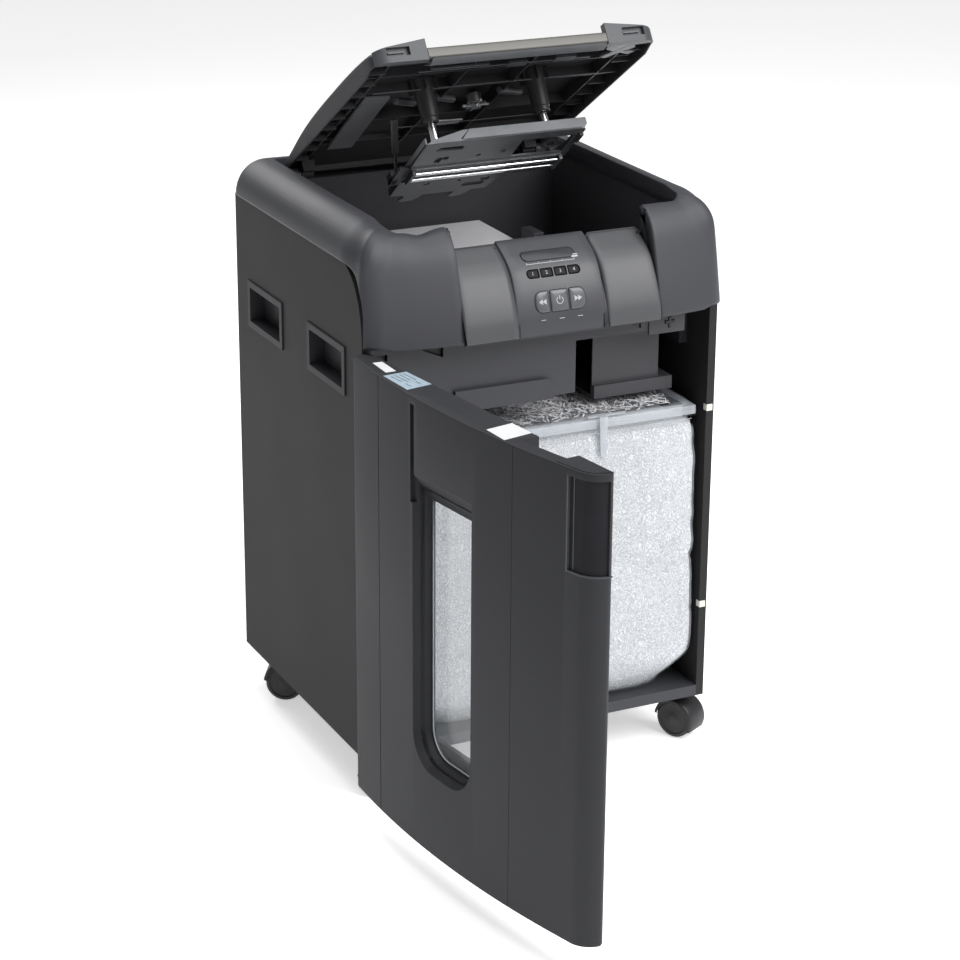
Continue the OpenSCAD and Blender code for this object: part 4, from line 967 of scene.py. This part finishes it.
frame_lines = Form().box((-104, -282, 11.6), (112, -279.6, 13))
frame_lines.box((-104, -302, 11.6), (60, -300.6, 13))
frame_lines.box((-138, -222.6, 12), (152, -221, 13.4))
frame_lines.box((-60, -97, 12), (120, -95.6, 13.4))
frame_lines.box((6, -288, 10.2), (30, -276, 13.6)).box((64, -292, 10.2), (90, -280, 13.6))
frame_lines.box((-92, -291, 10.4), (-20, -288.4, 13))
frame_lines.piece("lid_edge_trims", "lid", "plate_grey", sharp=40, bevel=0.3)

bracket = Form().prism([(118, -318), (152, -320), (160, -304), (154, -296), (166, -290), (160, -282),
                        (146, -290), (132, -276), (124, -282), (134, -296), (122, -304)], 10.4, 12.4)
for a in (38, 128):
    bracket.box((-24, -1.6, -1), (24, 1.6, 3), shift((141, -300, 11.2)) @ spin(a, "Z"))
bracket.box((150, -322, 10.4), (172, -312, 12.4))
bracket.piece("lid_corner_bracket", "lid", "plate_grey", sharp=40, bevel=0.4)

latch = Form()
for a in range(0, 360, 45):
    turn = shift((15, -160, 0)) @ spin(a, "Z")
    latch.box((3, -1.5, 8), (13 if a % 90 else 17, 1.5, 10.5), turn)
latch.lathe([(0.01, 5.5), (4.5, 5.5), (5.5, 6.5), (5.5, 12), (9, 12.5), (9, 22.6), (0.01, 22.6)],
            shift((15, -160, 0)), 28)
latch.box((-26, -110, 8), (14, -104, 10)).rod((-26, -118, 9), (16, -114, 9), 1.6)
latch.rod((-20, -106, 9), (-20, -92, 9), 1.6)
latch.piece("lid_spring_latch", "lid", "zinc_steel", sharp=40, bevel=0.25)

bar = Form()
profile = rounded(LID_FRONT, LID_N0 + 1.5, LID_FRONT + 10, LID_N0 + 13.5, (1.5, 0.8, 2.0, 3.4), 5)
bar.prism(profile, -111, 111, "x")
bar.piece("lid_front_bar_trim", "lid", "champagne", ["lid_front_bar"], sharp=40, bevel=0.3)

lip = Form().prism([(-331.5, 9.2), (-326, 5.6), (-318, 4.8), (-315, 8.0), (-315, 12), (-322.6, 12),
                    (-324, 9.2)], -106, 111, "x")
lip.piece("lid_front_lip", "lid", "rib_grey", sharp=40, bevel=0.4)

caps = Form()
for side in (-1, 1):
    pts = [(side * 111.4, -333), (side * 156, -333)]
    pts += [(side * (156 + 20 * math.sin(math.radians(a))), -313 - 20 * math.cos(math.radians(a)))
            for a in (12, 24, 36, 48, 60)]
    pts += [(side * 173.6, -323), (side * 111.4, -323)]
    rings = [[(x, y, z if z < 20 else 32 - (abs(x) - 111) * 0.13) for x, y in pts] for z in (7.2, 30)]
    caps.loft(rings)
slots = [Form().box((132, -335, 14.5), (160, -328, 24.5)), Form().box((-160, -335, 14.5), (-132, -328, 24.5))]
caps.piece("lid_corner_caps", "lid", "cap_grey", ["lid_caps"], cuts=slots, bevel=1.0, segments=3)
cap_bits = Form()
for x in (134, -158):
    cap_bits.box((x, -330.4, 18.2), (x + 20, -327.5, 20.4))
cap_bits.piece("lid_cap_latches", "lid", "rib_grey", bevel=0.3)


# --- press plate ---
PLACES["press"] = LID_OPEN @ shift(Vector((0, -182, -70)) * MM) @ spin(-6, "X")
plate = Form()
outline = [(-100, -66), (-86, -70), (-58, -70), (-50, -70), (96, -70), (102, -66), (102, -54), (26, -54),
           (26, -12), (102, -12), (102, 28), (83, 30), (83, 36), (38, 36), (24, 70), (20, 70),
           (6, 70), (2, 79), (-4, 84), (-14, 86), (-20, 82), (-16, 74), (-18, 70), (-56, 70),
           (-60, 78), (-66, 84), (-78, 86), (-84, 82), (-80, 74), (-82, 68), (-100, 66)]
sheet = Form().prism(outline, 0, 2.2)
plate.prism([(-58, 0), (98, 0), (104, 6), (104, 14), (-44, 14)], -70, -67.6, "y")
plate.prism([(-100, 0), (-86, 0), (-58, 2), (-44, 14), (-52, 14), (-92, 5)], -68.8, -66.6, "y")
plate.box((-100, -66, 0), (-97.8, 66, 9)).box((98, -66, 0.2), (100.2, 27, 9))
plate.box((93, -56, 0.2), (101.6, -10, 2.0))
plate.box((-97, -36, 2), (20, -33.6, 6)).box((-97, 44, 2), (28, 46.4, 6))
for x in (-96, 92):
    plate.box((x, -4, -6.4), (x + 4, 24, 0.2))
plate.box((-98, -8, -1.6), (94, -4.6, 0.4)).box((-98, 26, -1.6), (94, 28.6, 0.4))
holes = []
for x, y, r in ((-62, -26, 4.5), (-20, -26, 3.0), (10, -30, 3.0), (-62, 40, 4.0), (-20, 40, 2.6),
                (14, 42, 6.0), (-80, -50, 2.5), (2, 20, 3.0)):
    holes.append(Form().prism(arc(x, y, r, 0, 337.5, 15), -3, 5))
holes.append(Form().prism(rounded(-80, -56, -48, -46, 3), -3, 5))
holes.append(Form().prism(rounded(-12, 48, 16, 58, 4), -3, 5))
holes.append(Form().prism(rounded(-74, -30, -66, -16, 2), -3, 5))
sheet.piece("press_plate_sheet", "press", "plate_grey", ["press_plate"], cuts=holes, bevel=0.3)
plate.piece("press_plate_flanges", "press", "plate_grey", bevel=0.3)

plungers = Form()
for y in (2, 17):
    plungers.rod((-92, y, -3.6), (92, y, -3.6), 2.4, 20)
for x in (-ROD_X, ROD_X):
    plungers.rod((x, -31, 6), (x, -35, 52), 5, 24)
plungers.piece("press_bright_rods", "press", "chrome", ["press_rods"], sharp=40)
bosses = Form()
for x in (-ROD_X, ROD_X):
    bosses.lathe([(5.1, 2), (12, 2), (12, 4.5), (9.5, 6), (8.6, 16), (7.6, 17), (5.1, 17)],
                 shift((x, -31, 0)), 32)
arm_a, arm_b = Vector((-103, 30, 4)), Vector((-116, -38, 50))
bosses.rod(arm_a.lerp(arm_b, 0.45), arm_b, 4.2, 20)
bosses.box((-112, -8, 0.4), (-99, 36, 4)).box((-112, 20, 0.4), (-104, 34, 12))
bosses.box((96, -60, -4), (101, -40, 16)).rod((90, -52, 12), (104, -52, 12), 4.0)
bosses.piece("press_bosses", "press", "black_plastic", sharp=40, bevel=0.3)
arm = Form().rod(arm_a, arm_a.lerp(arm_b, 0.55), 2.0, 16)
arm.piece("press_guide_arm", "press", "chrome", sharp=40)


# --- paper ---
lo, hi = (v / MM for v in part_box("paper_stack"))
pile = Form()
sheets = 40
for i in range(sheets):
    z0 = lo.z + (hi.z - lo.z) * i / sheets
    dx, dy = random.uniform(-0.5, 0.5), random.uniform(-0.5, 0.5)
    pile.box((lo.x + 0.6 + dx, lo.y + 0.6 + dy, z0),
             (hi.x - 0.6 + dx, hi.y - 0.6 + dy, z0 + (hi.z - lo.z) / sheets * 0.86))
pile.piece("paper_sheets", "cabinet", "paper_white", ["paper_stack"], sharp=30)


# --- dark sheet of painted shade behind the apron's openings ---
apron_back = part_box("front_apron")[1].y / MM
shade_sheet = Form().box((-213, apron_back + 0.6, 528), (-98, apron_back + 2.0, 562))
shade_sheet.box((-213, apron_back + 0.6, 562), (-98, apron_back + 8, 563.4))
shade_sheet.piece("apron_shade_sheet", "cabinet", "shadow_gap", bevel=0.3, sharp=32)


# --- waste bag ---
BAG_LO, BAG_HI = (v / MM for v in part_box("waste_bag"))
RING_N = 140


def lump(p, scale, amount):
    return noise.noise(Vector(p) * scale) * amount


def bag_ring(z, swell):
    """One level of the bag: a rounded rectangle whose sides bulge and crease."""
    h = (z - BAG_LO.z) / (BAG_HI.z - BAG_LO.z)
    inset = 0.2 + 20.0 * smooth((0.15 - h) / 0.15) ** 1.5 + 2.0 * smooth((h - 0.88) / 0.12)
    r = 10 + 30 * smooth((0.20 - h) / 0.20)
    front = BAG_LO.y - 4.5
    outline = rounded(BAG_LO.x + inset, front + inset, BAG_HI.x + 2.6 - inset, BAG_HI.y - inset, r, 10)
    pts = even_ring(outline, RING_N)
    cx, cy = (BAG_LO.x + BAG_HI.x) / 2, (BAG_LO.y + BAG_HI.y) / 2
    ring = []
    for p in pts:
        out = Vector((p.x - cx, p.y - cy)).normalized()
        d = lump((p.x, p.y, z), 0.011, 5.0) + lump((p.x + 90, p.y, z * 1.4), 0.035, 2.2) + swell
        crease = abs(noise.noise(Vector((p.x * 0.02, p.y * 0.02 + 4, z * 0.012))))
        d -= 3.0 * math.exp(-(crease / 0.05) ** 2)
        if p.y < -150:
            d -= 5.0 * math.exp(-((p.x - 78) / 4.5) ** 2) * smooth((h - 0.05) / 0.1)
        d = min(d, inset + (1.6 if out.x > 0 else 0.6) + swell)
        ring.append(Vector((p.x + out.x * d, p.y + out.y * d, z)))
    return ring


def drape(z0, z1, levels):
    return [z0 + (z1 - z0) * i / (levels - 1) for i in range(levels)]


fill = Form()
fill_rings = [bag_ring(z, -2.6) for z in drape(BAG_LO.z + 3, 416, 56)]
floor_ring = [Vector((v.x * 0.94 + 1.3, v.y * 0.94 - 1, BAG_LO.z + 2.2)) for v in fill_rings[0]]
cx, cy = (BAG_LO.x + BAG_HI.x) / 2, (BAG_LO.y + BAG_HI.y) / 2
tops = []
for k in range(1, 15):
    t = k / 14
    s = 1 - 0.98 * t
    row = []
    for v in fill_rings[-1]:
        x, y = cx + (v.x - cx) * 0.93 * s, cy + (v.y - cy) * (0.90 * s)
        rise = 8 + 16 * smooth(t * 1.6) + lump((x, y, 3), 0.02, 9) + lump((x, y, 30), 0.06, 4)
        row.append(Vector((x, y, min(446, 416 + rise))))
    tops.append(row)
fill.loft([floor_ring] + fill_rings + tops)
fill.piece("shredded_paper_mass", "bag", "shreds", ["shredded_paper"], sharp=180)

film = Form()
film_rings = [bag_ring(z, 0.0) for z in drape(BAG_LO.z + 1.5, 410, 60)]
base_ring = [Vector((v.x * 0.96 + 0.9, v.y * 0.96 - 0.7, BAG_LO.z + 0.4)) for v in film_rings[0]]
neck_l, neck_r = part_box("bag_frame")[0].x / MM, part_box("bag_frame")[1].x / MM
neck_f, neck_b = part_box("bag_frame")[0].y / MM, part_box("bag_frame")[1].y / MM


def cuff_ring(inset, z, wave):
    outline = rounded(neck_l + inset, neck_f + inset, neck_r - inset, neck_b - inset, max(4, 26 - inset), 10)
    return [Vector((p.x + lump((p.x, p.y, z), 0.05, wave), p.y + lump((p.y, p.x, z), 0.05, wave),
                    z + lump((p.x, p.y, 9), 0.04, wave))) for p in even_ring(outline, RING_N)]


cuff = [cuff_ring(12, 417, 0.4), cuff_ring(12.5, 428, 0.4), cuff_ring(11, 438.4, 0.3),
        cuff_ring(6, 439.4, 0.2), cuff_ring(0.8, 438.8, 0.2),
        cuff_ring(-0.9, 436, 0.2), cuff_ring(-1.0, 430, 0.3), cuff_ring(-1.1, 424, 0.5),
        cuff_ring(-1.0, 417, 0.9), cuff_ring(-0.6, 409, 1.6)]
film.loft([base_ring] + film_rings + cuff, caps=False)
film.add(base_ring, [list(range(len(base_ring)))])
film.piece("waste_bag_film", "bag", "bag_film", ["waste_bag"], sharp=180, merge=0.01)

hooks = Form().prism([(74, 441.6), (85, 441.6), (83.5, 392), (76, 392)], neck_f - 5.4, neck_f - 4.6, "y")
hooks.box((60, neck_f - 1.6, 440.4), (110, neck_f + 3, 442.4))
hooks.box((neck_l + 6, neck_f - 1.3, 431), (neck_r - 6, neck_f - 0.9, 432))
hooks.box((neck_l + 6, neck_f - 1.3, 421), (neck_r - 6, neck_f - 0.9, 421.8))
hooks.piece("bag_frame_clip", "bag", "frame_blue_grey", bevel=0.3)

loose = Form()
for i in range(2600):
    x = random.uniform(neck_l + 20, neck_r - 20)
    y = random.uniform(neck_f + 16, neck_b - 16) if i % 3 else random.uniform(neck_f + 16, neck_f + 90)
    z = 437 + 7 * random.random() * (1 - abs(y + 20) / 320) + lump((x, y, 3), 0.02, 3)
    z = min(444.5, z)
    a, length, w = random.uniform(0, math.tau), random.uniform(10, 26), random.uniform(1.0, 1.9)
    curl, tilt = random.uniform(-1.4, 1.4), random.uniform(-0.25, 0.25)
    left, right_edge = [], []
    px, py, pz = x, y, z
    for k in range(6):
        d = Vector((math.cos(a), math.sin(a)))
        s = Vector((-d.y, d.x)) * w / 2
        lift = math.sin(k * 1.1 + i) * 0.7
        left.append((px + s.x, py + s.y, min(446, pz + lift)))
        right_edge.append((px - s.x, py - s.y, min(446, pz + lift + 0.4)))
        px += d.x * length / 5
        py += d.y * length / 5
        pz += tilt * length / 5
        a += curl / 5
    if not (neck_l + 14 < px < neck_r - 14 and neck_f + 11 < py < neck_b - 11):
        continue
    loose.add(left + right_edge, [[k, k + 1, k + 7, k + 6] for k in range(5)])
loose.piece("loose_shreds", "bag", "paper_white", slot="shreds", sharp=180)


# --- castors ---
CASTORS = {"fl": "front_left", "fr": "front_right", "bl": "back_left", "br": "back_right"}
WHEEL_R, WHEEL_T, BODY_T, TRAIL = 24.0, 11.0, 9.0, 14.0
for short, full in CASTORS.items():
    swivel, roll = JOINTS[full + "_swivel"], JOINTS[full + "_roll"]
    stem, axle = Vector(swivel["pos_m"]) / MM, Vector(roll["pos_m"]) / MM
    turn = math.atan2(axle.y - stem.y, axle.x - stem.x)
    at = shift((stem.x, stem.y, 0)) @ Matrix.Rotation(turn, 4, "Z")
    hub = at @ shift((TRAIL, 0, WHEEL_R)) @ spin(90, "X")
    wheels = Form()
    for s in (-1, 1):
        m = hub @ shift((0, 0, s * (BODY_T + WHEEL_T) / 2)) @ spin(0 if s > 0 else 180, "X")
        h = WHEEL_T / 2
        wheels.lathe([(0.01, -h), (20, -h), (22.6, -h + 0.6), (23.7, -h + 2.0), (24, 0), (23.7, h - 2.0),
                      (22.6, h - 0.6), (20.6, h), (19.4, h), (18.6, h - 1.2), (8, h - 1.6),
                      (6.4, h - 0.6), (5.2, h - 0.2), (0.01, h - 0.1)], m, 48)
    wheels.rod(hub @ Vector((0, 0, -14)), hub @ Vector((0, 0, 14)), 3)
    wheels.piece("castor_wheels_" + short + "_tyres", full + "_wheels", "roller_rubber",
                 ["castor_wheels_" + short], sharp=40)
    hood = Form()
    w = 17.6
    hood.lathe([(25.0, -w + 2.6), (25.0, w - 2.6), (24.0, w - 1.2), (22.5, w - 0.9), (22.5, w - 0.1),
                (24.6, w), (26.2, w - 1.0), (27, w - 3.2), (27, -w + 3.2), (26.2, -w + 1.0), (24.6, -w),
                (22.5, -w + 0.1), (22.5, -w + 0.9), (24.0, -w + 1.2)], hub, 34, (-28, 172))
    hood.prism(arc(0, 0, 26, 20, 160, 18) + [(-10, 0), (10, 0)], -3.6, 3.6, at=hub)
    hood.lathe([(0.01, 0), (9.5, 0), (10, 0.6), (10, 11.4), (9.0, 12), (5, 12), (5, 24.4), (0.01, 24.4)],
               at @ shift((0, 0, 49)), 32)
    hood.box((0, -9, 48), (TRAIL, 9, 54), at)
    hood.piece("castor_fork_" + short + "_hood", full + "_castor", "black_plastic",
               ["castor_fork_" + short], sharp=40, bevel=0.4)


# --- CAD nodes that stay: soft edges and procedural finishes ---
SOFTER_EDGES = ("left_panel", "right_panel", "base_tray", "grip_cups", "bag_frame")
OTHER_LOOKS = {"drive_housing": "tray_grey", "paper_tray": "tray_grey", "grip_cups": "door_charcoal",
               "latch_bracket": "tray_grey"}
slot_of = {s["node"]: s["material_slot"] for s in frame["record"]["subparts"]}
for name, obj in NODES.items():
    look = OTHER_LOOKS.get(name, slot_of[name])
    obj.data.materials.clear()
    obj.data.materials.append(LOOKS[look])
    if obj.hide_render:
        continue
    weld = obj.modifiers.new("weld", "WELD")
    weld.merge_threshold = 0.00001
    edge = obj.modifiers.new("edges", "BEVEL")
    edge.width = (0.8 if name in SOFTER_EDGES else 0.4) * MM
    edge.segments = 2
    edge.limit_method = "ANGLE"
    edge.angle_limit = math.radians(40)


# --- floor and light ---
floor_mesh = bpy.data.meshes.new("floor")
floor_mesh.from_pydata([(-30, -30, 0), (30, -30, 0), (30, 30, 0), (-30, 30, 0)], [], [(0, 1, 2, 3)])
floor = bpy.data.objects.new("floor", floor_mesh)
SCENE.collection.objects.link(floor)
material("floor_white", (0.93, 0.93, 0.93), 0.9, spread=0.004, cloud=3, bump=0.0, specular=0.1)
floor_tree = LOOKS["floor_white"].node_tree
set_inputs(floor_tree, floor_tree.nodes["Principled BSDF"], {"Emission Color": (1, 1, 1, 1),
                                                                      "Emission Strength": 0.50})
floor.data.materials.append(LOOKS["floor_white"])

world = bpy.data.worlds.new("studio")
world.use_nodes = True
set_inputs(world.node_tree, world.node_tree.nodes["Background"], {"Color": (1, 1, 1, 1), "Strength": 0.30})
SCENE.world = world
SCENE.view_settings.view_transform = "Standard"


def area_light(name, location, target, size, power):
    data = bpy.data.lights.new(name, "AREA")
    data.shape = "RECTANGLE"
    data.size, data.size_y = size
    data.energy = power
    obj = bpy.data.objects.new(name, data)
    obj.location = location
    obj.rotation_euler = (Vector(target) - Vector(location)).to_track_quat("-Z", "Y").to_euler()
    SCENE.collection.objects.link(obj)


area_light("key", (1.3, -2.3, 2.5), (0, -0.1, 0.5), (2.2, 1.8), 105)
area_light("top", (0.1, -0.4, 3.2), (0, 0, 0.4), (2.4, 2.4), 60)
area_light("back", (-0.6, 2.4, 2.2), (0, 0, 0.6), (1.6, 1.2), 30)
